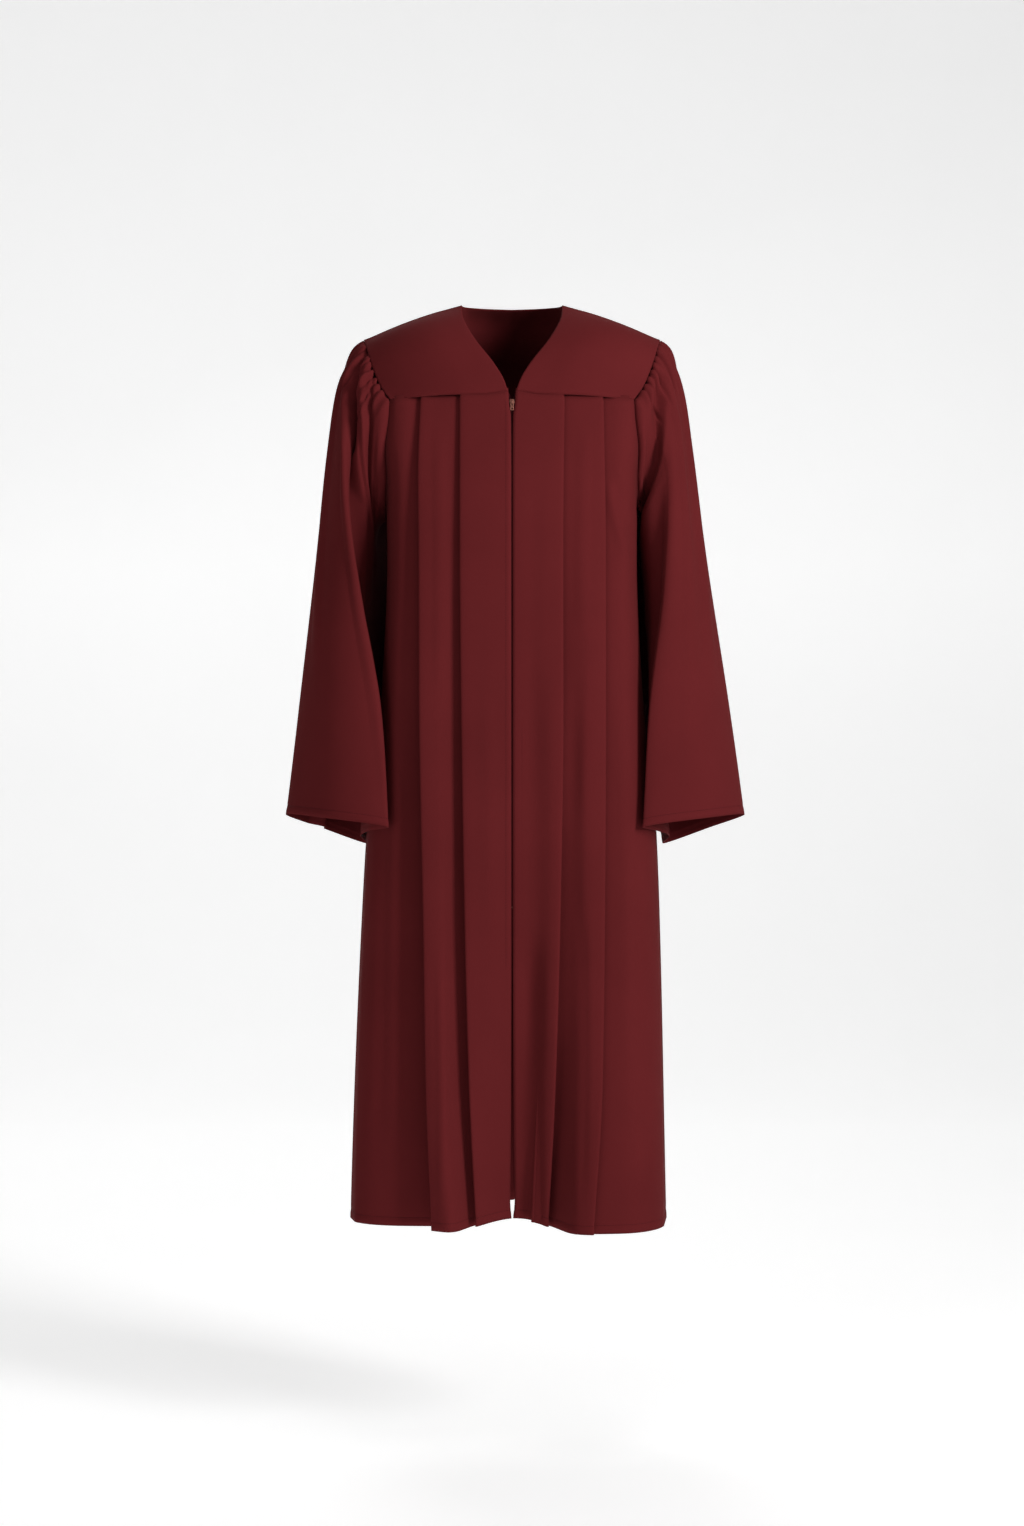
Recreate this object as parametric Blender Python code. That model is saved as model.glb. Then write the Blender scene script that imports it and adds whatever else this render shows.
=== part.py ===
"""Choir robe, worn shape with no wearer: yoke, pleated fronts, gathered back, bell sleeves and a centre zip.

Metres, +Z up, the front faces -Y and +X is the wearer's left.
The origin is where the wearer's shoulders carry the robe, midway between them and level with their tops.
"""

import math
from collections import namedtuple

import bmesh
import bpy
import numpy as np

# Cloth and seams
CLOTH = 0.0012
SEAM_GAP = 0.0003
FOLD_RADIUS = 0.0012
PLEAT_LEAVE = 0.004
SMOOTH_ANGLE = math.radians(50)

# Levels and the seams on them
YOKE_FRONT_LEVEL = -0.105
YOKE_BACK_LEVEL = -0.125
UNDERARM_LEVEL = -0.250
HEM_LEVEL = -1.130
SEAM_RISE_CENTRE = 0.0045
SEAM_RISE_REACH = 0.035
SEAM_DROP_ARM = 0.0025
SEAM_DROP_FROM = 0.070
SEAM_DROP_TO = 0.152
SEAM_LEVELS_OUT_BY = 0.090
CENTRE_HEM_RISE = 0.011
CENTRE_RISE_REACH = 0.070
CENTRE_RISE_FROM = 0.75

# Plan of the body
SIDE_SEAM_Y = 0.012
SQUARENESS = 0.76
SIDE_LEAN = 0.0045
LEAN_FROM = 0.50
CENTRE_SWELL = 0.0015
BETWEEN_PLEATS = 0.55

# Zip
TAPE = 0.0010
TAPE_WIDTH = 0.012
TAPE_SETBACK = 0.0005
ZIP_TOP = -0.1035
ZIP_END = -0.7335
TAPE_PARTING = 0.0011
TAPE_PARTING_AT_TOP = 0.0018
PARTED_ABOVE = 0.002
CLOSED_BELOW = -0.001
SLIDER_LEVEL = -0.1155
SLIDER_LENGTH = 0.0085
SLIDER_WIDTH = 0.0060
SLIDER_PLATE = 0.0009
PULL_LENGTH = 0.0105
PULL_WIDTH = 0.0046
PULL_THICKNESS = 0.0010
PULL_BAR = 0.0005
PULL_WINDOW = (0.0022, 0.0035)
PULL_HOLE = (0.0022, 0.0018)
PULL_END_BAR = 0.0018
ARCH_DEPTH = 0.0026
ARCH_HALF_LENGTH = 0.0024
ARCH_HALF_WIDTH = 0.0006
ARCH_BAR = 0.0008
PULL_AXIS_OUT = 0.0009
NECK_HALF_WIDTH = 0.0008
NECK_LENGTH = 0.0014
STOP_HALF_WIDTH = 0.0030
STOP_HALF_HEIGHT = 0.0020
STOP_THICKNESS = 0.0009

# Back gathers: how many, how much of the back they take, how high they are and at which depths they grow
BACK_GATHERS = 11
BACK_STEPS_PER_GATHER = 5
GATHERED_WIDTH = 0.76
GATHERED_SHARE = 0.88
GATHER_AT_YOKE = 0.0013
GATHER_BELOW = 0.0060
GATHER_AT_HEM = 0.0030
GATHER_GROWS = (0.125, 0.300)
GATHER_SPREADS = (0.400, 1.100)
SMOOTH_SIDES = 0.14

# Sleeve: gathers of the cap, how far round and down they go, how the long folds fade,
# and how far and which way the sleeve stands off the armhole
CAP_GATHERS = 12
CAP_STEPS_PER_GATHER = 4
CAP_SHARE = 0.30
CAP_GATHER_HEIGHT = 0.0026
CAP_FADE = (0.04, 0.03)
CAP_PINCH = 0.03
CAP_RELEASE = (0.05, 0.22)
FOLD_FADE_IN = 0.10
FOLD_FADE_OUT = 0.30
UNDERARM_STEPS = 14
SLEEVE_START = 0.0011
SLEEVE_START_UNDERARM = 0.0006
UNDERARM_REACH = 0.16
LEAVE_OUT = 0.85
LEAVE_AWAY = 0.50
LEAVE_DOWN = 0.30
LEAVE_DOWN_MORE = 0.12
LEAVE_TURNS = (90, 190, 270, 350, 450)
SWING_ABOVE_BY = 0.12
SWING_BELOW_FROM = 0.20

LEFT = 1
RIGHT = -1


class Table:
    """Rows of numbers under named columns, read at any place along the first column by a monotone cubic."""

    def __init__(self, names, rows):
        self.names = names
        self.data = np.array(sorted(rows), float)

    def at(self, name, place):
        x = self.data[:, 0]
        y = self.data[:, self.names.index(name)]
        step = np.diff(x)
        rise = np.diff(y) / step
        slope = np.zeros(len(x))
        slope[0] = rise[0]
        slope[-1] = rise[-1]
        for i in range(1, len(x) - 1):
            if rise[i - 1] * rise[i] > 0:
                a = 2 * step[i] + step[i - 1]
                b = step[i] + 2 * step[i - 1]
                slope[i] = (a + b) / (a / rise[i - 1] + b / rise[i])
        place = min(max(place, x[0]), x[-1])
        i = int(min(max(np.searchsorted(x, place) - 1, 0), len(x) - 2))
        t = (place - x[i]) / step[i]
        return float(
            y[i] * (1 + 2 * t) * (1 - t) ** 2
            + slope[i] * step[i] * t * (1 - t) ** 2
            + y[i + 1] * t * t * (3 - 2 * t)
            + slope[i + 1] * step[i] * t * t * (t - 1)
        )


# The body below the yoke: half width at the side seam, depth at the centre front and at the centre back
BODY = Table(
    ("level", "side", "centre", "back"),
    [
        (-0.105, 0.1740, -0.1100, 0.1060),
        (-0.160, 0.1700, -0.1180, 0.1150),
        (-0.206, 0.1610, -0.1225, 0.1200),
        (-0.250, 0.1580, -0.1250, 0.1230),
        (-0.300, 0.1575, -0.1270, 0.1250),
        (-0.450, 0.1640, -0.1270, 0.1300),
        (-0.650, 0.1832, -0.1200, 0.1390),
        (-0.800, 0.1898, -0.1080, 0.1480),
        (-1.000, 0.1960, -0.0860, 0.1600),
        (-1.130, 0.1992, -0.0680, 0.1680),
    ],
)

# Half of the gap between the two front edges
FRONT_GAP = Table(
    ("level", "half"),
    [
        (-0.100, 0.0048),
        (-0.110, 0.0041),
        (-0.121, 0.0036),
        (-0.134, 0.0014),
        (-0.200, 0.0008),
        (-0.735, 0.0008),
        (-1.000, 0.0014),
        (-1.105, 0.0024),
        (-1.130, 0.0009),
    ],
)

# A knife pleat: place and depth of its fold edge, how far the next layer lies behind it,
# how far its inner fold is tucked towards the centre, and how far the layer after it bows forward
PLEAT_COLUMNS = ("level", "x", "y", "under", "tuck", "bow")
PLEATS = {
    (LEFT, "inner"): Table(
        PLEAT_COLUMNS,
        [
            (-0.105, 0.0640, -0.1085, 0.0056, 0.020, 0.000),
            (-0.300, 0.0620, -0.1250, 0.0085, 0.020, 0.003),
            (-0.500, 0.0622, -0.1265, 0.0110, 0.020, 0.004),
            (-0.750, 0.0585, -0.1230, 0.0140, 0.020, 0.006),
            (-0.950, 0.0530, -0.1120, 0.0140, 0.020, 0.010),
            (-1.130, 0.0444, -0.0900, 0.0110, 0.018, 0.015),
        ],
    ),
    (LEFT, "outer"): Table(
        PLEAT_COLUMNS,
        [
            (-0.105, 0.1120, -0.0965, 0.0056, 0.018, 0.000),
            (-0.300, 0.1146, -0.1090, 0.0070, 0.018, 0.000),
            (-0.500, 0.1146, -0.1130, 0.0080, 0.018, 0.000),
            (-0.750, 0.1130, -0.1190, 0.0085, 0.018, 0.000),
            (-0.950, 0.1100, -0.1250, 0.0090, 0.018, 0.000),
            (-1.130, 0.0990, -0.1290, 0.0080, 0.018, 0.000),
        ],
    ),
    (RIGHT, "inner"): Table(
        PLEAT_COLUMNS,
        [
            (-0.105, 0.0638, -0.1085, 0.0056, 0.020, 0.000),
            (-0.300, 0.0635, -0.1250, 0.0090, 0.020, 0.002),
            (-0.500, 0.0615, -0.1270, 0.0120, 0.020, 0.003),
            (-0.750, 0.0575, -0.1240, 0.0150, 0.020, 0.006),
            (-0.950, 0.0525, -0.1130, 0.0160, 0.020, 0.012),
            (-1.130, 0.0444, -0.0890, 0.0120, 0.018, 0.020),
        ],
    ),
    (RIGHT, "outer"): Table(
        PLEAT_COLUMNS,
        [
            (-0.105, 0.1120, -0.0965, 0.0056, 0.018, 0.000),
            (-0.200, 0.1150, -0.1050, 0.0100, 0.020, 0.000),
            (-0.300, 0.1140, -0.1120, 0.0150, 0.022, 0.000),
            (-0.500, 0.1130, -0.1190, 0.0230, 0.024, 0.000),
            (-0.750, 0.1080, -0.1210, 0.0310, 0.024, 0.000),
            (-0.950, 0.1050, -0.1130, 0.0350, 0.022, 0.000),
            (-1.130, 0.0984, -0.0960, 0.0380, 0.018, 0.000),
        ],
    ),
}

# Front and back edges of the armhole below the yoke
ARMHOLE = Table(
    ("level", "front", "back"),
    [
        (-0.105, -0.0800, 0.0660),
        (-0.125, -0.0795, 0.0660),
        (-0.160, -0.0740, 0.0640),
        (-0.206, -0.0580, 0.0520),
        (-0.236, -0.0280, 0.0320),
        (-0.250, 0.0120, 0.0120),
    ],
)

# Edges of the yoke, for the wearer's left side: along the neck, over the shoulder, round the arm
NECK_EDGE = [
    (0.0634, 0.0000, 0.0201),
    (0.0600, -0.0420, -0.0035),
    (0.0450, -0.0765, -0.0335),
    (0.0235, -0.0960, -0.0630),
    (0.0110, -0.1055, -0.0840),
    (0.0050, -0.1100, -0.0975),
]
SHOULDER_EDGE = [
    (0.0634, 0.0000, 0.0201),
    (0.1000, 0.0000, 0.0105),
    (0.1400, 0.0000, -0.0035),
    (0.1865, 0.0000, -0.0235),
]
ARM_EDGE_FRONT = [
    (0.1865, 0.0000, -0.0235),
    (0.1815, -0.0290, -0.0376),
    (0.1750, -0.0490, -0.0590),
    (0.1620, -0.0665, -0.0905),
]
ARM_EDGE_BACK = [
    (0.1865, 0.0000, -0.0235),
    (0.1820, 0.0290, -0.0376),
    (0.1750, 0.0490, -0.0620),
    (0.1650, 0.0620, -0.0950),
]
BACK_NECK_EDGE = [
    (0.0634, 0.0000, 0.0201),
    (0.0560, 0.0330, 0.0230),
    (0.0320, 0.0550, 0.0245),
    (0.0000, 0.0620, 0.0245),
]
FRONT_YOKE_BULGE = 0.011
BACK_YOKE_BULGE = 0.014

# Sleeve sections at shares of its length: where its outer line, its front, the front's inner edge,
# its side next to the body, its inner line, its back edge and its rear lie
SLEEVE_PLACES = (0.00, 0.14, 0.30, 0.38, 0.48, 0.66, 0.84)
FRONT_PLACE = 0.30
INNER_PLACE = 0.48
HEEL_PLACE = 0.66
# Where the front's inner edge and the heel start, as shares of the front and back lines of the armhole
FRONT_PLACE_SHARE = 0.36
HEEL_PLACE_SHARE = 0.42
Section = namedtuple("Section", "outer front edge side inner heel rear")
SLEEVE_SECTIONS = {
    0.10: Section(
        (0.2115, 0.0000, -0.0740),
        (0.2030, -0.0420, -0.0920),
        (0.1760, -0.0740, -0.1420),
        (0.1690, -0.0480, -0.2180),
        (0.1680, 0.0120, -0.2680),
        (0.1690, 0.0760, -0.1650),
        (0.2000, 0.0470, -0.0950),
    ),
    0.24: Section(
        (0.2275, 0.0000, -0.1550),
        (0.2140, -0.0530, -0.1640),
        (0.1950, -0.0740, -0.1900),
        (0.1730, -0.0480, -0.2500),
        (0.1680, 0.0100, -0.2950),
        (0.1640, 0.0820, -0.2200),
        (0.2140, 0.0600, -0.1680),
    ),
    0.50: Section(
        (0.2485, 0.0030, -0.3200),
        (0.2270, -0.0580, -0.3230),
        (0.1930, -0.0760, -0.3350),
        (0.1760, -0.0420, -0.3600),
        (0.1710, 0.0100, -0.3900),
        (0.1600, 0.0880, -0.3680),
        (0.2240, 0.0690, -0.3320),
    ),
    0.75: Section(
        (0.2690, 0.0030, -0.4700),
        (0.2290, -0.0730, -0.4740),
        (0.1680, -0.0960, -0.4850),
        (0.1770, -0.0560, -0.5000),
        (0.1830, 0.0050, -0.5200),
        (0.1640, 0.0900, -0.5100),
        (0.2330, 0.0690, -0.4850),
    ),
    1.00: Section(
        (0.2885, 0.0020, -0.6205),
        (0.2300, -0.0820, -0.6240),
        (0.1570, -0.1080, -0.6340),
        (0.1820, -0.0620, -0.6400),
        (0.1950, 0.0000, -0.6470),
        (0.1930, 0.0840, -0.6590),
        (0.2470, 0.0640, -0.6390),
    ),
}
# How far out each sleeve swings beyond the sections, at the upper arm and at the hem, on the wearer's left
SWING_ABOVE = -0.0025
SWING_BELOW = 0.0040

# Long sleeve folds: place round the sleeve at the cap and at the hem, where along it each begins and ends,
# half width round the sleeve, and height out of it, a valley being negative
Fold = namedtuple("Fold", "cap low begin end width height")
SLEEVE_FOLDS = [
    Fold(0.06, 0.10, 0.03, 0.80, 0.035, 0.0040),
    Fold(0.13, 0.19, 0.03, 0.50, 0.030, -0.0050),
    Fold(0.19, 0.27, 0.02, 0.95, 0.030, 0.0050),
    Fold(0.235, 0.34, 0.02, 0.70, 0.028, -0.0100),
    Fold(0.285, 0.38, 0.02, 0.60, 0.024, 0.0060),
    Fold(0.325, 0.42, 0.02, 0.50, 0.022, -0.0060),
    Fold(0.65, 0.62, 0.03, 0.70, 0.035, -0.0060),
    Fold(0.74, 0.73, 0.03, 0.95, 0.035, 0.0060),
    Fold(0.83, 0.82, 0.03, 0.85, 0.035, -0.0060),
    Fold(0.92, 0.92, 0.03, 0.80, 0.035, 0.0040),
]
REAR_HEM_FOLD = Fold(0.86, 0.86, 0.55, 1.60, 0.030, -0.0160)


def curve_through(points, steps):
    """A smooth curve through these points, with the given number of steps in each span."""
    points = np.array(points, float)
    before = 2 * points[0] - points[1]
    after = 2 * points[-1] - points[-2]
    line = np.vstack([before, points, after])
    knots = np.concatenate([[0], np.cumsum(np.sqrt(np.linalg.norm(np.diff(line, axis=0), axis=1)))])
    made = []
    for i, count in enumerate(steps):
        p0, p1, p2, p3 = line[i : i + 4]
        t0, t1, t2, t3 = knots[i : i + 4]
        for t in np.linspace(t1, t2, count, endpoint=False):
            a1 = ((t1 - t) * p0 + (t - t0) * p1) / (t1 - t0)
            a2 = ((t2 - t) * p1 + (t - t1) * p2) / (t2 - t1)
            a3 = ((t3 - t) * p2 + (t - t2) * p3) / (t3 - t2)
            b1 = ((t2 - t) * a1 + (t - t0) * a2) / (t2 - t0)
            b2 = ((t3 - t) * a2 + (t - t1) * a3) / (t3 - t1)
            made.append(((t2 - t) * b1 + (t - t1) * b2) / (t2 - t1))
    made.append(points[-1])
    return np.array(made)


def even_points(points, places):
    """Points at the given shares of a line's length."""
    points = np.array(points, float)
    run = np.concatenate([[0], np.cumsum(np.linalg.norm(np.diff(points, axis=0), axis=1))])
    return np.column_stack([np.interp(np.array(places) * run[-1], run, points[:, k]) for k in range(3)])


def bell(distance, width):
    """A smooth bump of height 1 that has died out at this width."""
    share = np.clip(np.abs(distance) / width, 0, 1)
    return (1 - share**2) ** 2


def ease(value, low, high):
    """0 up to low, 1 from high, and smooth between."""
    t = np.clip((value - low) / (high - low), 0, 1)
    return t * t * (3 - 2 * t)


def front_seam_level(x):
    """Height of the front yoke seam, which dips a little at the arm and rises at the zip."""
    rise = SEAM_RISE_CENTRE * bell(x, SEAM_RISE_REACH)
    return YOKE_FRONT_LEVEL + rise - SEAM_DROP_ARM * ease(x, SEAM_DROP_FROM, SEAM_DROP_TO)


def real_height(level, x):
    """Height of a front point: rows follow the yoke seam above and the raised centre of the hem below."""
    top = ease(level, YOKE_FRONT_LEVEL - SEAM_LEVELS_OUT_BY, YOKE_FRONT_LEVEL)
    low = ease(-level, CENTRE_RISE_FROM, -HEM_LEVEL)
    rise = CENTRE_HEM_RISE * bell(x, CENTRE_RISE_REACH)
    return level + top * (front_seam_level(x) - YOKE_FRONT_LEVEL) + low * rise


def pleat_points(x, y, under, tuck):
    """Points round a knife pleat: the fold edge, back under the panel, the inner fold and out again."""
    r = FOLD_RADIUS
    return [
        (x - r, y),
        (x, y + r),
        (x - r, y + 2 * r),
        (x - tuck + r, y + under - 2 * r),
        (x - tuck, y + under - r),
        (x - tuck + r, y + under),
    ]


def side_of(level, hand):
    """Half width of the body on one side: the hem leans a little to the wearer's right."""
    return BODY.at("side", level) - hand * SIDE_LEAN * ease(-level, LEAN_FROM, -HEM_LEVEL)


def turn_at(y, depth):
    """The angle round the squared oval at which it reaches this y."""
    return math.acos(min(max((y - SIDE_SEAM_Y) / depth, 0), 1) ** (1 / SQUARENESS))


def round_to_side(start, side, end_y, turns):
    """Points on the squared quarter oval from a start point round to the side, ended at a depth."""
    depth = start[1] - SIDE_SEAM_Y
    last = turn_at(end_y, depth)
    return [
        (
            start[0] + (side - start[0]) * math.sin(last * t) ** SQUARENESS,
            SIDE_SEAM_Y + depth * math.cos(last * t) ** SQUARENESS,
        )
        for t in turns
    ]


# Steps in each span of a front section, from the centre edge to the side
FRONT_STEPS = (2, 2, 1, 1, 2, 1, 1, 2, 2, 2, 1, 1, 2, 1, 1, 2, 2, 2, 2)


def front_section(level, hand, steps=FRONT_STEPS):
    """Plan of a front panel at a level: x and y from the centre edge through both pleats to its side."""
    inner = PLEATS[hand, "inner"]
    outer = PLEATS[hand, "outer"]
    centre = (FRONT_GAP.at("half", level), BODY.at("centre", level))
    one = [inner.at(name, level) for name in ("x", "y", "under", "tuck")]
    two = [outer.at(name, level) for name in ("x", "y", "under", "tuck")]
    middle = ((centre[0] + one[0]) / 2, (centre[1] + one[1]) / 2 - CENTRE_SWELL)
    first = pleat_points(*one)
    leaving = (one[0] + PLEAT_LEAVE, one[1] + one[2])
    between = (
        leaving[0] + (two[0] - leaving[0]) * BETWEEN_PLEATS,
        leaving[1] + (two[1] - leaving[1]) * BETWEEN_PLEATS - inner.at("bow", level),
    )
    second = pleat_points(*two)
    start = (two[0] + PLEAT_LEAVE, two[1] + two[2])
    end_y = ARMHOLE.at("front", level) if level > UNDERARM_LEVEL else SIDE_SEAM_Y
    turns = (0, 0.25, 0.5, 0.75, 1)
    round_side = round_to_side(start, side_of(level, hand), end_y - SEAM_GAP / 2, turns)
    return curve_through([centre, middle, *first, leaving, between, *second, *round_side], steps)


def front_edge(level):
    """Where the outer edge of a front lies: on the armhole, or below it on the side seam."""
    x, y = front_section(level, LEFT)[-1]
    return np.array([x, y, level])


def back_edge(level):
    """Where the outer edge of the back lies."""
    x, y, _ = back_point(level, 1.0)
    return np.array([x, y, level])


def back_point(level, share):
    """A point of the smooth back, from the wearer's right edge at -1 to the left edge at 1."""
    hand = RIGHT if share < 0 else LEFT
    side = side_of(level, hand)
    depth = BODY.at("back", level) - SIDE_SEAM_Y
    end_y = ARMHOLE.at("back", level) if level > UNDERARM_LEVEL else SIDE_SEAM_Y
    last = turn_at(end_y + SEAM_GAP / 2, depth)
    gathered = math.asin(GATHERED_WIDTH ** (1 / SQUARENESS))
    across = abs(share)
    if across < GATHERED_SHARE:
        x = side * GATHERED_WIDTH * across / GATHERED_SHARE
        turn = math.asin((x / side) ** (1 / SQUARENESS))
    else:
        turn = gathered + (last - gathered) * (across - GATHERED_SHARE) / (1 - GATHERED_SHARE)
        x = side * math.sin(turn) ** SQUARENESS
    return hand * x, SIDE_SEAM_Y + depth * math.cos(turn) ** SQUARENESS, level


def ripple(share, waves):
    """A slow sum of sines, for what is uneven: each wave is its height, its count across and its start."""
    return sum(height * np.sin(2 * np.pi * count * share + start) for height, count, start in waves)


# How the gathers wander sideways and how their height varies
GATHER_WANDER = ((0.010, 2.3, 0.7), (0.006, 4.1, 0.0))
GATHER_UNEVEN = ((0.28, 1.7, 1.1), (0.15, 3.9, 0.0))
SHARP_CREST = 0.2


def gather_wave(share, count):
    """A row of rounded gathers, uneven in width and depth, from 0 to 1 across."""
    turn = 2 * np.pi * count * (share + ripple(share, GATHER_WANDER))
    wave = (np.cos(turn) + SHARP_CREST * np.cos(2 * turn)) / (1 + SHARP_CREST)
    return (1 + ripple(share, GATHER_UNEVEN)) * wave


def normals_of(grid, closed):
    """Unit normals of a grid of points, rows down and columns across."""
    if closed:
        across = np.roll(grid, -1, axis=1) - np.roll(grid, 1, axis=1)
    else:
        across = np.gradient(grid, axis=1)
    down = np.gradient(grid, axis=0)
    normal = np.cross(down, across)
    return normal / np.linalg.norm(normal, axis=2, keepdims=True)


def square_rim(normal, axis):
    """Thickness directions along an edge, turned flat across this axis, so that two pieces butt there."""
    flat = normal - (normal @ axis)[:, None] * axis
    return flat / (flat**2).sum(axis=1, keepdims=True)


FORWARD = (0, -1, 0)


def wall(name, grid, cloth, closed=False, thickness=CLOTH, outward=FORWARD, top=None, bottom=None):
    """A closed wall of cloth on a grid of points at its middle. Its end rims may be squared to an axis."""
    grid = np.array(grid, float)
    normal = normals_of(grid, closed)
    rows, columns = grid.shape[:2]
    if closed:
        centre = grid.mean(axis=1, keepdims=True)
        turned = ((grid - centre) * normal).sum() < 0
    else:
        turned = (normal @ np.array(outward, float)).sum() < 0
    if turned:
        normal = -normal
    for row, axis in ((0, top), (-1, bottom)):
        if axis is not None:
            sewn = np.abs(grid[row, :, 0]) > NECK_EDGE[0][0] - SEAM_GAP if axis[1] else slice(None)
            normal[row, sewn] = square_rim(normal[row, sewn], np.array(axis, float))
    front = grid + normal * thickness / 2
    back = grid - normal * thickness / 2
    mesh = bmesh.new()
    outer = [[mesh.verts.new(p) for p in row] for row in front]
    inner = [[mesh.verts.new(p) for p in row] for row in back]
    spans = columns if closed else columns - 1
    for i in range(rows - 1):
        for j in range(spans):
            k = (j + 1) % columns
            mesh.faces.new((outer[i][j], outer[i + 1][j], outer[i + 1][k], outer[i][k]))
            mesh.faces.new((inner[i][j], inner[i][k], inner[i + 1][k], inner[i + 1][j]))
    for j in range(spans):
        k = (j + 1) % columns
        mesh.faces.new((outer[0][j], outer[0][k], inner[0][k], inner[0][j]))
        mesh.faces.new((outer[-1][k], outer[-1][j], inner[-1][j], inner[-1][k]))
    if not closed:
        for i in range(rows - 1):
            mesh.faces.new((outer[i][0], inner[i][0], inner[i + 1][0], outer[i + 1][0]))
            mesh.faces.new((outer[i][-1], outer[i + 1][-1], inner[i + 1][-1], inner[i][-1]))
    bmesh.ops.recalc_face_normals(mesh, faces=mesh.faces)
    return finished(name, mesh, cloth, True)


def finished(name, mesh, material, smooth):
    """The object of a bmesh, in the scene, with its material."""
    data = bpy.data.meshes.new(name)
    mesh.to_mesh(data)
    mesh.free()
    if smooth:
        data.shade_smooth()
        data.set_sharp_from_angle(angle=SMOOTH_ANGLE)
    data.materials.append(material)
    made = bpy.data.objects.new(name, data)
    bpy.context.scene.collection.objects.link(made)
    return made


def material(name, colour, roughness, metallic=0.0):
    made = bpy.data.materials.new(name)
    made.use_nodes = True
    shader = made.node_tree.nodes["Principled BSDF"]
    shader.inputs["Base Color"].default_value = (*colour, 1)
    shader.inputs["Roughness"].default_value = roughness
    shader.inputs["Metallic"].default_value = metallic
    return made


def front_levels():
    """Heights of the rows of a front panel, closest together round the armhole."""
    upper = (-0.105, -0.125, -0.150, -0.180, -0.208, -0.233, -0.250)
    return [*upper, *np.linspace(-0.310, HEM_LEVEL, 9)]


def front_panel(hand, cloth):
    rows = []
    for level in front_levels():
        row = []
        for x, y in front_section(level, hand):
            z = real_height(level, x)
            if level == YOKE_FRONT_LEVEL:
                z -= SEAM_GAP / 2
            row.append((hand * x, y, z))
        rows.append(row)
    name = "front_left" if hand == LEFT else "front_right"
    return wall(name, rows, cloth, top=(0, 0, 1))


def back_levels():
    """Heights of the rows of the back panel."""
    upper = (YOKE_BACK_LEVEL - SEAM_GAP, -0.145, -0.175, -0.206, -0.233, -0.250)
    return [*upper, *np.linspace(-0.320, HEM_LEVEL, 7)]


def back_grid(levels, columns):
    """The gathered back: shallow and pinched at the yoke, deeper folds lower down, smooth at both sides."""
    shares = np.linspace(-1, 1, columns)
    base = np.array([[back_point(level, s) for s in shares] for level in levels])
    normal = normals_of(base, False)
    normal *= np.sign(normal[:, :, 1:2])
    down = -np.array(levels)[:, None]
    height = GATHER_AT_YOKE + GATHER_BELOW * ease(down, *GATHER_GROWS)
    height = height + GATHER_AT_HEM * ease(down, *GATHER_SPREADS)
    wave = gather_wave((shares + 1) / 2, BACK_GATHERS) * ease(1 - np.abs(shares), 0.0, SMOOTH_SIDES)
    return base + normal * (height * wave)[:, :, None]


def back_panel(cloth):
    columns = BACK_GATHERS * BACK_STEPS_PER_GATHER + 1
    return wall("back", back_grid(back_levels(), columns), cloth, outward=(0, 1, 0), top=(0, 0, 1))


def patch(top, bottom, first, last, bulge, towards, rows, columns):
    """A Coons patch between four edges, pushed out in the middle."""
    down = np.linspace(0, 1, rows)
    over = np.linspace(0, 1, columns)
    top = even_points(top, over)
    bottom = even_points(bottom, over)
    first = even_points(first, down)
    last = even_points(last, down)
    grid = np.zeros((rows, columns, 3))
    for i, v in enumerate(down):
        for j, u in enumerate(over):
            ruled = (1 - v) * top[j] + v * bottom[j] + (1 - u) * first[i] + u * last[i]
            corners = (1 - v) * ((1 - u) * top[0] + u * top[-1]) + v * ((1 - u) * bottom[0] + u * bottom[-1])
            grid[i, j] = ruled - corners + 16 * u * (1 - u) * v * (1 - v) * bulge * np.array(towards)
    return grid


def arm_edge_front(fine=8):
    """The front armhole edge of the yoke, from the shoulder down to the yoke seam."""
    corner = front_edge(YOKE_FRONT_LEVEL)
    corner[2] = front_seam_level(corner[0])
    return curve_through([*ARM_EDGE_FRONT, corner], [fine] * 4)


def arm_edge_back(fine=8):
    """The back armhole edge of the yoke, from the shoulder down to the yoke seam."""
    return curve_through([*ARM_EDGE_BACK, back_edge(YOKE_BACK_LEVEL)], [fine] * 4)


def front_yoke_seam():
    """The front yoke's lower edge, over the top layer of both pleats, from the centre to the armhole."""
    y_at = [
        (0.0050, -0.1100),
        (0.0400, -0.1100),
        (0.0640, -0.1085),
        (0.1120, -0.0965),
    ]
    end = front_edge(YOKE_FRONT_LEVEL)
    line = curve_through([*[(x, y, 0) for x, y in y_at], (end[0], end[1], 0)], [8] * 4)
    line[:, 2] = [front_seam_level(x) + SEAM_GAP for x in line[:, 0]]
    return line


def front_yoke(hand, cloth, rows=10, columns=15):
    side = np.array([hand, 1, 1])
    low = front_yoke_seam()
    neck = curve_through([*NECK_EDGE[:-1], low[0]], [6] * 5)
    arm = np.vstack([arm_edge_front()[:-1], low[-1]])
    top = curve_through(SHOULDER_EDGE, [8] * 3)
    grid = patch(top, low, neck, arm, FRONT_YOKE_BULGE, (0.0, -0.6, 0.8), rows, columns)
    grid[0, :, 1] -= SEAM_GAP / 2
    name = "yoke_front_left" if hand == LEFT else "yoke_front_right"
    return wall(name, grid * side, cloth, outward=(0, -1, 0.5), top=(0, 1, 0), bottom=(0, 0, 1))


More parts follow.
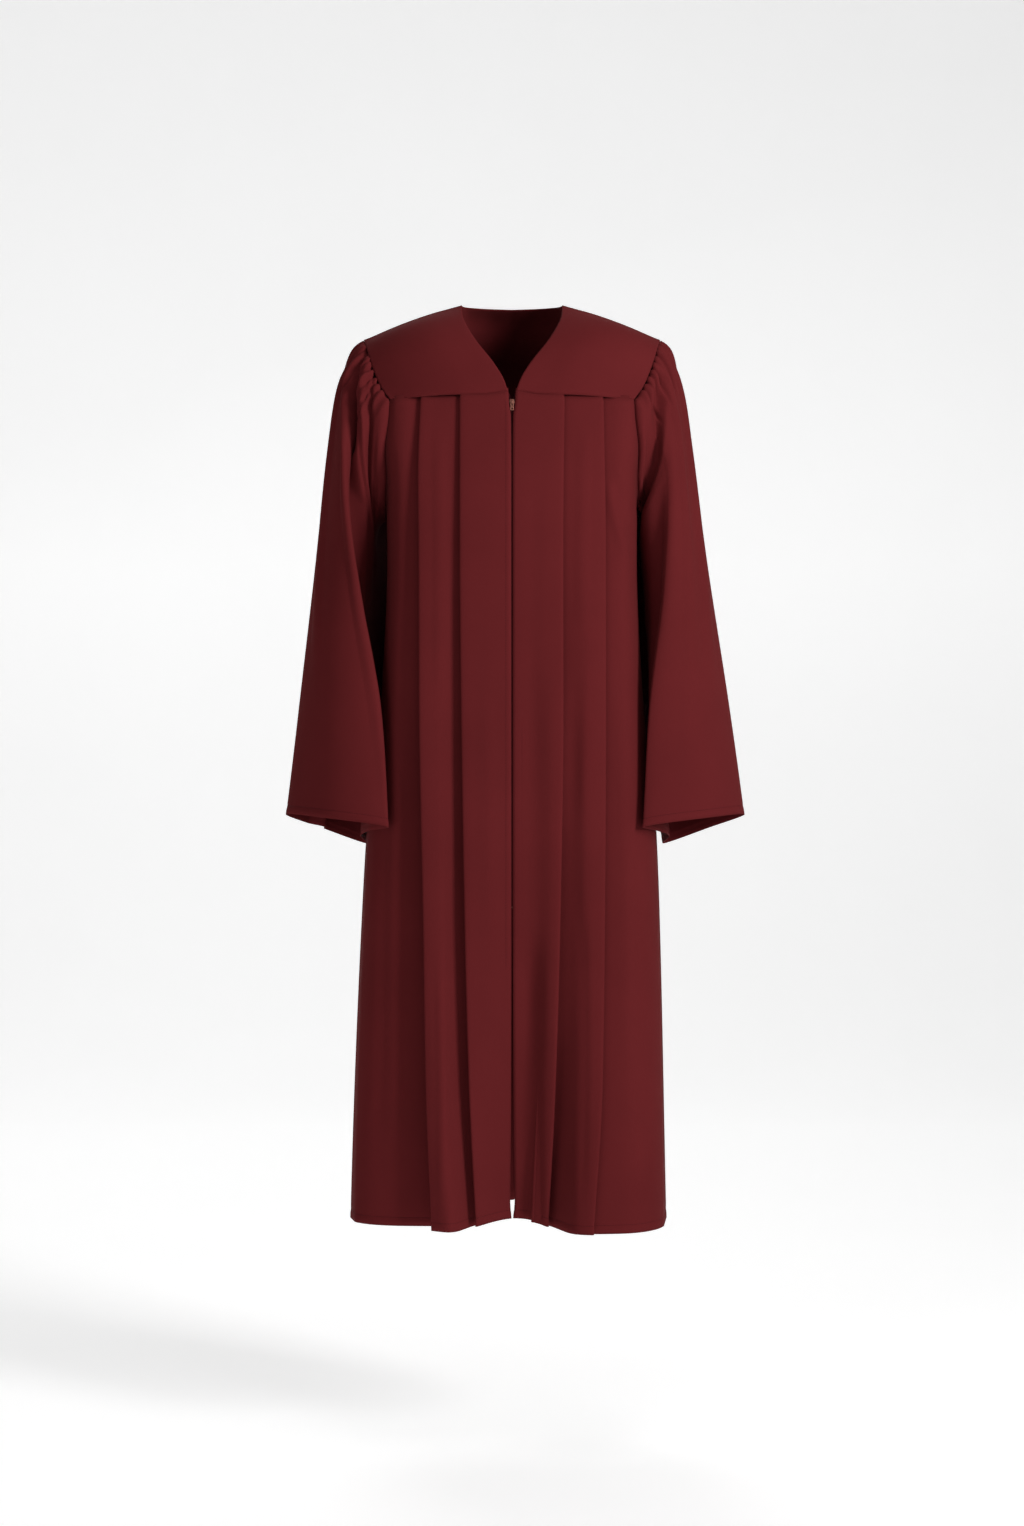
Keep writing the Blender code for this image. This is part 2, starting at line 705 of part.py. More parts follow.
def back_yoke(cloth, rows=10, columns=25):
    mirror = np.array([-1, 1, 1])
    shoulder = curve_through(SHOULDER_EDGE, [8] * 3)[::-1]
    neck = curve_through(BACK_NECK_EDGE, [6] * 3)
    half = np.vstack([shoulder, neck[1:]])
    top = np.vstack([half, (half[::-1] * mirror)[1:]])
    arm = arm_edge_back()
    shares = np.linspace(1, -1, 25)
    low = np.array([back_point(YOKE_BACK_LEVEL, s) for s in shares])
    grid = patch(top, low, arm, arm * mirror, BACK_YOKE_BULGE, (0.0, 0.6, 0.8), rows, columns)
    grid[0, :, 1] += SEAM_GAP / 2
    return wall("yoke_back", grid, cloth, outward=(0, 1, 0.5), top=(0, 1, 0), bottom=(0, 0, 1))


def armhole_ring(fine=6):
    """The armhole as two lines, front and back, each from the shoulder to the underarm."""
    front_levels_down = np.linspace(YOKE_FRONT_LEVEL, UNDERARM_LEVEL, 4 * fine)[1:]
    back_levels_down = np.linspace(YOKE_BACK_LEVEL, UNDERARM_LEVEL, 4 * fine)[1:]
    front = np.vstack([arm_edge_front(), [front_edge(v) for v in front_levels_down]])
    back = np.vstack([arm_edge_back(), [back_edge(v) for v in back_levels_down]])
    return front, back


def armhole_point(places):
    """Points of the armhole for places round the sleeve: by the front to the underarm and up the back."""
    front, back = armhole_ring()
    front_share = np.interp(places, [0, FRONT_PLACE, INNER_PLACE], [0, FRONT_PLACE_SHARE, 1])
    back_share = np.interp(places, [INNER_PLACE, HEEL_PLACE, 1], [1, HEEL_PLACE_SHARE, 0])
    return np.where(
        (np.array(places) <= INNER_PLACE)[:, None],
        even_points(front, front_share),
        even_points(back, back_share),
    )


def ring_through(points, places):
    """A smooth closed curve through points at SLEEVE_PLACES, read at other places round it."""
    knots = np.array(SLEEVE_PLACES)
    knots = np.concatenate([knots - 1, knots, knots + 1])
    ring = np.tile(np.array(points, float), (3, 1))
    made = []
    for place in places:
        i = int(np.searchsorted(knots, place, side="right")) - 1
        gap = knots[i + 1] - knots[i]
        t = (place - knots[i]) / gap
        leave = (ring[i + 1] - ring[i - 1]) / (knots[i + 1] - knots[i - 1]) * gap
        arrive = (ring[i + 2] - ring[i]) / (knots[i + 2] - knots[i]) * gap
        made.append(
            ring[i] * (1 + 2 * t) * (1 - t) ** 2
            + leave * t * (1 - t) ** 2
            + ring[i + 1] * t * t * (3 - 2 * t)
            + arrive * t * t * (t - 1)
        )
    return np.array(made)


def sleeve_places():
    """Columns round the sleeve: dense over the gathered cap, wider apart under the arm."""
    gathered = CAP_SHARE + 0.05
    half = CAP_GATHERS * CAP_STEPS_PER_GATHER // 2
    front = np.linspace(0, gathered, half, endpoint=False)
    under = np.linspace(gathered, 1 - gathered, UNDERARM_STEPS, endpoint=False)
    back = np.linspace(1 - gathered, 1, half, endpoint=False)
    return np.concatenate([front, under, back])


def sleeve_steps():
    return (0, 0.035, 0.075, 0.125, 0.19, 0.27, 0.37, 0.49, 0.62, 0.75, 0.88, 1.0)


def seam_direction(places):
    """Which way the sleeve leaves the armhole: out, down, and a little away from the arm's middle."""
    turn = np.radians(np.interp(places, [0, FRONT_PLACE, INNER_PLACE, HEEL_PLACE, 1], LEAVE_TURNS))
    out = np.full(len(turn), LEAVE_OUT)
    down = -LEAVE_DOWN - LEAVE_DOWN_MORE * np.sin(turn)
    direction = np.column_stack([out, LEAVE_AWAY * np.cos(turn), down])
    return direction / np.linalg.norm(direction, axis=1, keepdims=True)


def sleeve_grid(hand, places, steps):
    """The sleeve as a grid: each column runs from the armhole through the sections to the hem."""
    leave = seam_direction(places)
    under = bell(places - INNER_PLACE, UNDERARM_REACH)[:, None] * np.array([SLEEVE_START_UNDERARM, 0, 0])
    start = armhole_point(places) + leave * SLEEVE_START + under
    knots = [0.0, *SLEEVE_SECTIONS]
    rings = [start] + [ring_through(ring, places) for ring in SLEEVE_SECTIONS.values()]
    first_reach = np.linalg.norm(rings[1] - rings[0], axis=1, keepdims=True) / knots[1]
    tangents = [leave * first_reach]
    for i in range(1, len(rings) - 1):
        tangents.append((rings[i + 1] - rings[i - 1]) / (knots[i + 1] - knots[i - 1]))
    tangents.append((rings[-1] - rings[-2]) / (knots[-1] - knots[-2]))
    grid = []
    for step in steps:
        i = min(int(np.searchsorted(knots, step, side="right")) - 1, len(knots) - 2)
        gap = knots[i + 1] - knots[i]
        t = (step - knots[i]) / gap
        grid.append(
            rings[i] * (1 + 2 * t) * (1 - t) ** 2
            + tangents[i] * gap * t * (1 - t) ** 2
            + rings[i + 1] * t * t * (3 - 2 * t)
            + tangents[i + 1] * gap * t * t * (t - 1)
        )
    grid = np.array(grid)
    along = np.array(steps)
    swing = SWING_ABOVE * ease(along, 0, SWING_ABOVE_BY)
    swing = swing + (SWING_BELOW - SWING_ABOVE) * ease(along, SWING_BELOW_FROM, 1)
    grid[:, :, 0] += hand * swing[:, None]
    normal = normals_of(grid, True)
    middle = grid.mean(axis=1, keepdims=True)
    normal *= np.sign(((grid - middle) * normal).sum(axis=2).mean())
    return grid + normal * sleeve_relief(hand, places, steps)[:, :, None]


def sleeve_relief(hand, places, steps):
    """Height of the folds out of the smooth sleeve."""
    steps = np.array(steps)[:, None]
    places = np.array(places)[None, :]
    folds = [*SLEEVE_FOLDS, REAR_HEM_FOLD] if hand == RIGHT else SLEEVE_FOLDS
    relief = np.zeros((steps.size, places.size))
    for fold in folds:
        place = fold.cap + (fold.low - fold.cap) * ease(steps, 0.0, 1.0)
        begins = ease(steps, fold.begin, fold.begin + FOLD_FADE_IN)
        along = begins * (1 - ease(steps, fold.end - FOLD_FADE_OUT, fold.end))
        away = np.abs((places - place + 0.5) % 1 - 0.5)
        relief += fold.height * along * bell(away, fold.width)
    from_top = np.minimum(places, 1 - places)
    gathered = 1 - ease(from_top, CAP_SHARE - CAP_FADE[0], CAP_SHARE + CAP_FADE[1])
    pinch = ease(steps, 0, CAP_PINCH) * (1 - ease(steps, *CAP_RELEASE))
    share = ((places + 0.5) % 1 - 0.5 + CAP_SHARE) / (2 * CAP_SHARE)
    relief += CAP_GATHER_HEIGHT * pinch * gathered * gather_wave(share, CAP_GATHERS)
    return relief


def sleeve(hand, cloth):
    grid = sleeve_grid(hand, sleeve_places(), sleeve_steps())
    name = "sleeve_left" if hand == LEFT else "sleeve_right"
    return wall(name, grid * np.array([hand, 1, 1]), cloth, closed=True)


def zip_line(level):
    """Middle of the zip at a level: a tape lies behind the front edges by a seam gap."""
    rows = front_levels()[::-1]
    return np.interp(level, rows, [BODY.at("centre", v) for v in rows]) + CLOTH / 2 + TAPE_SETBACK + TAPE / 2


def tape_inner_edge(level):
    """How far the tape's inner edge is from the middle: closed below the slider and parted above it."""
    parted = TAPE_PARTING * ease(level, SLIDER_LEVEL + CLOSED_BELOW, SLIDER_LEVEL + PARTED_ABOVE)
    return SEAM_GAP + parted + TAPE_PARTING_AT_TOP * ease(level, SLIDER_LEVEL + PARTED_ABOVE, ZIP_TOP)


# Rows of the tape near the slider, from its own level, and the level below which it has the front's rows
TAPE_ROWS_AT_SLIDER = (0.008, 0.005, PARTED_ABOVE, CLOSED_BELOW, -0.006)
TAPE_ROWS_BELOW = -0.007


def zip_tape(hand, cloth):
    """A tape behind a front, on the straight spans between the front's own rows."""
    at_slider = [SLIDER_LEVEL + rise for rise in TAPE_ROWS_AT_SLIDER]
    rows_of_front = front_levels()
    below = [v for v in rows_of_front if ZIP_END < v < SLIDER_LEVEL + TAPE_ROWS_BELOW]
    levels = [ZIP_TOP, *at_slider, *below, ZIP_END]
    edges = np.array([front_section(v, hand)[:4] for v in rows_of_front])[::-1]
    out = CLOTH / 2 + TAPE_SETBACK + TAPE / 2
    rows = []
    for level in sorted(levels, reverse=True):
        section = [
            [np.interp(level, rows_of_front[::-1], edges[:, k, axis]) for axis in (0, 1)]
            for k in range(edges.shape[1])
        ]
        section = np.array(section)
        row = []
        for share in (0, 0.5, 1):
            x = tape_inner_edge(level) + TAPE_WIDTH * share
            row.append((hand * x, np.interp(x, section[:, 0], section[:, 1]) + out, level))
        rows.append(row)
    name = "zip_tape_left" if hand == LEFT else "zip_tape_right"
    return wall(name, rows, cloth, thickness=TAPE)


def box(mesh, low, high):
    """A closed box in a bmesh."""
    corners = bmesh.ops.create_cube(mesh, size=1)["verts"]
    for v in corners:
        v.co = [low[k] + (high[k] - low[k]) * (v.co[k] + 0.5) for k in range(3)]


def joined(name, boxes, metal, cutters=()):
    """One solid made of boxes by Boolean union, with other boxes cut out of it."""
    parts = []
    for number, (low, high) in enumerate([*boxes, *cutters]):
        mesh = bmesh.new()
        box(mesh, low, high)
        parts.append(finished(name if not number else f"{name}_helper_{number}", mesh, metal, False))
    for number, helper in enumerate(parts[1:], start=1):
        cut = parts[0].modifiers.new(f"step_{number}", "BOOLEAN")
        cut.operation = "UNION" if number < len(boxes) else "DIFFERENCE"
        cut.solver = "EXACT"
        cut.object = helper
        helper.hide_render = True
        helper.display_type = "WIRE"
    return parts


def zip_frame():
    """Place and tilt of the slider: on the tapes, along the slope of the front at its level."""
    above = SLIDER_LEVEL + SLIDER_LENGTH / 2
    below = SLIDER_LEVEL - SLIDER_LENGTH / 2
    slope = (zip_line(above) - zip_line(below)) / SLIDER_LENGTH
    return (0, zip_line(SLIDER_LEVEL), SLIDER_LEVEL), math.atan(slope)


def zip_slider(metal):
    """Two plates joined by a neck above the closed teeth, and the arch that carries the pull."""
    half = SLIDER_WIDTH / 2
    near = TAPE / 2 + SEAM_GAP
    long = SLIDER_LENGTH / 2
    low = near + SLIDER_PLATE
    high = low + ARCH_DEPTH
    wide = ARCH_HALF_WIDTH
    end = ARCH_HALF_LENGTH
    sunk = SLIDER_PLATE / 3
    slim = NECK_HALF_WIDTH
    boxes = [
        ((-half, -low, -long), (half, -near, long)),
        ((-half, near, -long), (half, low, long)),
        ((-slim, -near - sunk, long - NECK_LENGTH), (slim, near + sunk, long - SEAM_GAP)),
        ((-wide, -high, -end), (wide, -low + sunk, -end + ARCH_BAR)),
        ((-wide, -high, end - ARCH_BAR), (wide, -low + sunk, end)),
        ((-wide, -high, -end), (wide, -high + ARCH_BAR, end)),
    ]
    return joined("zip_slider", boxes, metal)


def zip_pull(metal):
    """A flat tab with a window, whose upper bar turns under the slider's arch, and a hole at its end."""
    half = PULL_WIDTH / 2
    thick = PULL_THICKNESS / 2
    body = ((-half, -thick, -PULL_LENGTH + PULL_BAR), (half, thick, PULL_BAR))
    deep = PULL_THICKNESS
    cutters = []
    for (width, length), low in (
        (PULL_WINDOW, -PULL_BAR - PULL_WINDOW[1]),
        (PULL_HOLE, -PULL_LENGTH + PULL_END_BAR),
    ):
        cutters.append(((-width / 2, -deep, low), (width / 2, deep, low + length)))
    return joined("zip_pull", [body], metal, cutters)


def zip_stop(metal):
    """The bottom stop: a small plate behind both tapes where the zip ends."""
    level = ZIP_END + STOP_HALF_HEIGHT + SEAM_GAP
    y = zip_line(level) + TAPE / 2 + SEAM_GAP
    mesh = bmesh.new()
    half = (STOP_HALF_WIDTH, STOP_THICKNESS, STOP_HALF_HEIGHT)
    box(mesh, (-half[0], y, level - half[2]), (half[0], y + half[1], level + half[2]))
    return finished("zip_stop", mesh, metal, False)


def seat_at(name, place, parent):
    """An empty at a place, under its parent."""
    made = bpy.data.objects.new(name, None)
    bpy.context.scene.collection.objects.link(made)
    made.parent = parent
    made.location = place
    return made


def build():
    for old in list(bpy.data.objects):
        bpy.data.objects.remove(old)
    cloth = material("maroon_cloth", (0.125, 0.018, 0.022), 0.75)
    tape = material("zip_tape", (0.085, 0.014, 0.018), 0.85)
    metal = material("zip_metal", (0.36, 0.19, 0.15), 0.35, 0.9)

    for hand in (LEFT, RIGHT):
        front_yoke(hand, cloth)
        front_panel(hand, cloth)
        sleeve(hand, cloth)
        zip_tape(hand, tape)
    back_yoke(cloth)
    back_panel(cloth)
    zip_stop(metal)

    place, tilt = zip_frame()
    seat = seat_at("zip_seat", place, None)
    seat.rotation_euler = (-tilt, 0, 0)
    for made in zip_slider(metal):
        made.parent = seat
    hinge = seat_at("pull_hinge", (0, -TAPE / 2 - SEAM_GAP - SLIDER_PLATE - PULL_AXIS_OUT, 0), seat)
    for made in zip_pull(metal):
        made.parent = hinge


build()
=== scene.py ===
"""A maroon choir robe as it hangs when worn, seen from the front in soft studio light.

The cut is the solids' own, from the same named sizes, drawn finer. Creases, gathers, turned hems, stitching
and the zip's teeth are added on it.
"""

import math
from collections import namedtuple

import bmesh
import bpy
import numpy as np
from mathutils import Euler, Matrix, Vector


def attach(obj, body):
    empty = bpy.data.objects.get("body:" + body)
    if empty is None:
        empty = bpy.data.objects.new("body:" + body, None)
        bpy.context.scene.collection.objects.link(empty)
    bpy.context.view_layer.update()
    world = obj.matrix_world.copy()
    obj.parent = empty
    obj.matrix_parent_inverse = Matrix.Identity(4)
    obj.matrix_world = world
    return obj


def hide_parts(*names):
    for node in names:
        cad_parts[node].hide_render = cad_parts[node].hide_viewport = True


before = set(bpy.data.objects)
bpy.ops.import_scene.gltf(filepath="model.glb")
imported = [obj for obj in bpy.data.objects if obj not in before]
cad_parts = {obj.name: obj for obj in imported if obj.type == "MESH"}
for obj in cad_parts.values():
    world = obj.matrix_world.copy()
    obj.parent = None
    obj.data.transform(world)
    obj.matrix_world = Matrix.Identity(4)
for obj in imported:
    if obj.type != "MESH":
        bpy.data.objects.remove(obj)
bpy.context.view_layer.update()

# Cloth and seams
CLOTH = 0.0009
WALL = 0.0012
SEAM_GAP = 0.0003
FOLD_RADIUS = 0.0012
PLEAT_LEAVE = 0.004
HEM_DEPTH = 0.0105
HEM_SWELL = 0.00035
HEM_EDGE = 0.001
HEM_DRAW = 0.00045
HEM_DRAW_REACH = 0.0016
SEAM_DIP = 0.0007
SEAM_DIP_REACH = 0.004
SEAM_DIP_SHARE = 0.035
CREASE_DEEP_BY = 0.22
CREASE_FADES_FROM = 0.74
ROW_STEP = 0.006
ROW_CLEAR = 0.35
ROW_PAIR = 0.0006
TURNING = 0.0045
TURNING_DEPTH = 0.0011

# Levels and the seams on them
YOKE_FRONT_LEVEL = -0.105
YOKE_BACK_LEVEL = -0.125
UNDERARM_LEVEL = -0.250
HEM_LEVEL = -1.130
STITCHED_HEM = HEM_LEVEL + HEM_DEPTH
SEAM_RISE_CENTRE = 0.0045
SEAM_RISE_REACH = 0.035
SEAM_DROP_ARM = 0.0025
SEAM_DROP_FROM = 0.070
SEAM_DROP_TO = 0.152
SEAM_LEVELS_OUT_BY = 0.090
CENTRE_HEM_RISE = 0.011
CENTRE_RISE_REACH = 0.070
CENTRE_RISE_FROM = 0.75

# Plan of the body
SIDE_SEAM_Y = 0.012
SQUARENESS = 0.76
SIDE_LEAN = 0.0045
LEAN_FROM = 0.50
CENTRE_SWELL = 0.0015
BETWEEN_PLEATS = 0.55

# Zip
TAPE = 0.0010
TAPE_WIDTH = 0.012
TAPE_SETBACK = 0.0005
ZIP_TOP = -0.1035
ZIP_END = -0.7335
SLIDER_LEVEL = -0.1155
TOOTH_PITCH = 0.0016
TOOTH_REACH = 0.0017
TOOTH_ROOT = 0.0016
TOOTH_DEPTH = 0.0016
TOOTH_OUT = 0.00015
TOOTH_HEIGHT = 0.62
TOOTH_BEVEL = 0.00018
PARTED_IN_SLIDER = 0.0011
PARTED_AT_TOP = 0.0018

# Back gathers
BACK_GATHERS = 11
GATHERED_WIDTH = 0.76
GATHERED_SHARE = 0.88
GATHER_AT_YOKE = 0.0013
GATHER_BELOW = 0.0060
GATHER_AT_HEM = 0.0030

# Sleeve
CAP_GATHERS = 12
CAP_SHARE = 0.30
CAP_GATHER_HEIGHT = 0.0026
SLEEVE_START = 0.0011
SLEEVE_START_UNDERARM = 0.0006
LEAVE_OUT = 0.85
LEAVE_AWAY = 0.50
LEAVE_DOWN = 0.30
LEAVE_DOWN_MORE = 0.12

# Stitching
STITCH = 0.0026
STITCH_PITCH = 0.0034
THREAD = 0.00021
PLACKET_X = 0.0075
PLACKET_FROM = -0.112
PLACKET_TO = -0.815
PLACKET_DRAW = 0.0005
PLACKET_DRAW_REACH = 0.0022
PLACKET_STARTS_IN = 0.004
PLACKET_ENDS_IN = 0.02

LEFT = 1
RIGHT = -1


def cubic(a, leave, b, arrive, t):
    """From a to b as t goes from 0 to 1, with these slopes at its ends."""
    left = a * (1 + 2 * t) * (1 - t) ** 2 + leave * t * (1 - t) ** 2
    return left + b * t * t * (3 - 2 * t) + arrive * t * t * (t - 1)


class Table:
    """Rows of numbers under named columns, read at any place along the first column by a monotone cubic."""

    def __init__(self, names, rows):
        self.names = names
        self.data = np.array(sorted(rows), float)

    def at(self, name, place):
        x = self.data[:, 0]
        y = self.data[:, self.names.index(name)]
        step = np.diff(x)
        rise = np.diff(y) / step
        slope = np.zeros(len(x))
        slope[0] = rise[0]
        slope[-1] = rise[-1]
        for i in range(1, len(x) - 1):
            if rise[i - 1] * rise[i] > 0:
                a = 2 * step[i] + step[i - 1]
                b = step[i] + 2 * step[i - 1]
                slope[i] = (a + b) / (a / rise[i - 1] + b / rise[i])
        place = min(max(place, x[0]), x[-1])
        i = int(min(max(np.searchsorted(x, place) - 1, 0), len(x) - 2))
        t = (place - x[i]) / step[i]
        return float(cubic(y[i], slope[i] * step[i], y[i + 1], slope[i + 1] * step[i], t))


# The body below the yoke: half width at the side seam, depth at the centre front and at the centre back
BODY = Table(
    ("level", "side", "centre", "back"),
    [
        (-0.105, 0.174, -0.11, 0.106),
        (-0.16, 0.17, -0.118, 0.115),
        (-0.206, 0.161, -0.1225, 0.12),
        (-0.25, 0.158, -0.125, 0.123),
        (-0.3, 0.1575, -0.127, 0.125),
        (-0.45, 0.164, -0.127, 0.13),
        (-0.65, 0.1832, -0.12, 0.139),
        (-0.8, 0.1898, -0.108, 0.148),
        (-1, 0.196, -0.086, 0.16),
        (-1.13, 0.1992, -0.068, 0.168),
    ],
)

# Half of the gap between the two front edges
FRONT_GAP = Table(
    ("level", "half"),
    [
        (-0.1, 0.0048),
        (-0.11, 0.0041),
        (-0.121, 0.0036),
        (-0.134, 0.0014),
        (-0.2, 0.0008),
        (-0.735, 0.0008),
        (-1, 0.0014),
        (-1.105, 0.0024),
        (-1.13, 0.0009),
    ],
)

# A knife pleat: place and depth of its fold edge, how far the next layer lies behind it,
# how far its inner fold is tucked towards the centre, and how far the layer after it bows forward
PLEAT_COLUMNS = ("level", "x", "y", "under", "tuck", "bow")
PLEAT_ROWS = {
    (LEFT, "inner"): [
        (-0.105, 0.064, -0.1085, 0.0056, 0.02, 0),
        (-0.3, 0.062, -0.125, 0.0085, 0.02, 0.003),
        (-0.5, 0.0622, -0.1265, 0.011, 0.02, 0.004),
        (-0.75, 0.0585, -0.123, 0.014, 0.02, 0.006),
        (-0.95, 0.053, -0.112, 0.014, 0.02, 0.01),
        (-1.13, 0.0444, -0.09, 0.011, 0.018, 0.015),
    ],
    (LEFT, "outer"): [
        (-0.105, 0.112, -0.0965, 0.0056, 0.018, 0),
        (-0.3, 0.1146, -0.109, 0.007, 0.018, 0),
        (-0.5, 0.1146, -0.113, 0.008, 0.018, 0),
        (-0.75, 0.113, -0.119, 0.0085, 0.018, 0),
        (-0.95, 0.11, -0.125, 0.009, 0.018, 0),
        (-1.13, 0.099, -0.129, 0.008, 0.018, 0),
    ],
    (RIGHT, "inner"): [
        (-0.105, 0.0638, -0.1085, 0.0056, 0.02, 0),
        (-0.3, 0.0635, -0.125, 0.009, 0.02, 0.002),
        (-0.5, 0.0615, -0.127, 0.012, 0.02, 0.003),
        (-0.75, 0.0575, -0.124, 0.015, 0.02, 0.006),
        (-0.95, 0.0525, -0.113, 0.016, 0.02, 0.012),
        (-1.13, 0.0444, -0.089, 0.012, 0.018, 0.02),
    ],
    (RIGHT, "outer"): [
        (-0.105, 0.112, -0.0965, 0.0056, 0.018, 0),
        (-0.2, 0.115, -0.105, 0.01, 0.02, 0),
        (-0.3, 0.114, -0.112, 0.015, 0.022, 0),
        (-0.5, 0.113, -0.119, 0.023, 0.024, 0),
        (-0.75, 0.108, -0.121, 0.031, 0.024, 0),
        (-0.95, 0.105, -0.113, 0.035, 0.022, 0),
        (-1.13, 0.0984, -0.096, 0.038, 0.018, 0),
    ],
}
PLEATS = {key: Table(PLEAT_COLUMNS, rows) for key, rows in PLEAT_ROWS.items()}

# Front and back edges of the armhole below the yoke
ARMHOLE = Table(
    ("level", "front", "back"),
    [
        (-0.105, -0.08, 0.066),
        (-0.125, -0.0795, 0.066),
        (-0.16, -0.074, 0.064),
        (-0.206, -0.058, 0.052),
        (-0.236, -0.028, 0.032),
        (-0.25, 0.012, 0.012),
    ],
)

# Edges of the yoke, for the wearer's left side: along the neck, over the shoulder, round the arm
NECK_EDGE = [
    (0.0634, 0, 0.0201),
    (0.06, -0.042, -0.0035),
    (0.045, -0.0765, -0.0335),
    (0.0235, -0.096, -0.063),
    (0.011, -0.1055, -0.084),
    (0.005, -0.11, -0.0975),
]
SHOULDER_EDGE = [
    (0.0634, 0, 0.0201),
    (0.1, 0, 0.0105),
    (0.14, 0, -0.0035),
    (0.1865, 0, -0.0235),
]
ARM_EDGE_FRONT = [
    (0.1865, 0, -0.0235),
    (0.1815, -0.029, -0.0376),
    (0.175, -0.049, -0.059),
    (0.162, -0.0665, -0.0905),
]
ARM_EDGE_BACK = [
    (0.1865, 0, -0.0235),
    (0.182, 0.029, -0.0376),
    (0.175, 0.049, -0.062),
    (0.165, 0.062, -0.095),
]
BACK_NECK_EDGE = [
    (0.0634, 0, 0.0201),
    (0.056, 0.033, 0.023),
    (0.032, 0.055, 0.0245),
    (0, 0.062, 0.0245),
]
# Plan of the front yoke seam over the top layers of the pleats, up to the armhole
YOKE_SEAM_POINTS = [(0.005, -0.11, 0), (0.04, -0.11, 0), (0.064, -0.1085, 0), (0.112, -0.0965, 0)]
FRONT_YOKE_BULGE = 0.011
BACK_YOKE_BULGE = 0.014

# Sleeve sections at shares of its length: where its outer line, its front, the front's inner edge,
# its side next to the body, its inner line, its back edge and its rear lie
SLEEVE_PLACES = (0, 0.14, 0.3, 0.38, 0.48, 0.66, 0.84)
INNER_PLACE = 0.48
SLEEVE_SECTIONS = {
    0.1: (
        (0.2115, 0, -0.074),
        (0.203, -0.042, -0.092),
        (0.176, -0.074, -0.142),
        (0.169, -0.048, -0.218),
        (0.168, 0.012, -0.268),
        (0.162, 0.076, -0.165),
        (0.2, 0.047, -0.095),
    ),
    0.24: (
        (0.2275, 0, -0.155),
        (0.214, -0.053, -0.164),
        (0.195, -0.074, -0.19),
        (0.176, -0.044, -0.25),
        (0.169, 0.011, -0.295),
        (0.156, 0.082, -0.22),
        (0.214, 0.06, -0.168),
    ),
    0.5: (
        (0.2485, 0.003, -0.32),
        (0.227, -0.058, -0.323),
        (0.189, -0.079, -0.335),
        (0.185, -0.034, -0.36),
        (0.176, 0.014, -0.39),
        (0.152, 0.088, -0.368),
        (0.224, 0.069, -0.332),
    ),
    0.75: (
        (0.269, 0.003, -0.47),
        (0.229, -0.073, -0.474),
        (0.168, -0.096, -0.485),
        (0.177, -0.056, -0.5),
        (0.183, 0.005, -0.52),
        (0.164, 0.09, -0.51),
        (0.233, 0.069, -0.485),
    ),
    1: (
        (0.2885, 0.002, -0.6205),
        (0.23, -0.082, -0.624),
        (0.157, -0.108, -0.634),
        (0.182, -0.062, -0.64),
        (0.195, 0, -0.647),
        (0.193, 0.084, -0.659),
        (0.247, 0.064, -0.639),
    ),
}
# How far out each sleeve swings beyond the sections, at the upper arm and at the hem, on the wearer's left
SWING_ABOVE = -0.0025
SWING_BELOW = 0.0040

# A crease: from one point to another in x and z, half width, height out of the cloth, a valley being
# negative, and how far the line bows sideways
Crease = namedtuple("Crease", "x0 z0 x1 z1 width height bow")

# Long sleeve folds: place round the sleeve at the cap and at the hem, where along it each begins and ends,
# half width round the sleeve, and height out of it, a valley being negative
Fold = namedtuple("Fold", "cap low begin end width height")
SLEEVE_FOLDS = [
    Fold(0.06, 0.1, 0.03, 0.8, 0.035, 0.004),
    Fold(0.65, 0.62, 0.03, 0.7, 0.035, -0.006),
    Fold(0.74, 0.73, 0.03, 0.95, 0.035, 0.006),
    Fold(0.83, 0.82, 0.03, 0.85, 0.035, -0.006),
    Fold(0.92, 0.92, 0.03, 0.8, 0.035, 0.004),
]
REAR_HEM_FOLD = Fold(0.86, 0.86, 0.55, 1.6, 0.03, -0.016)

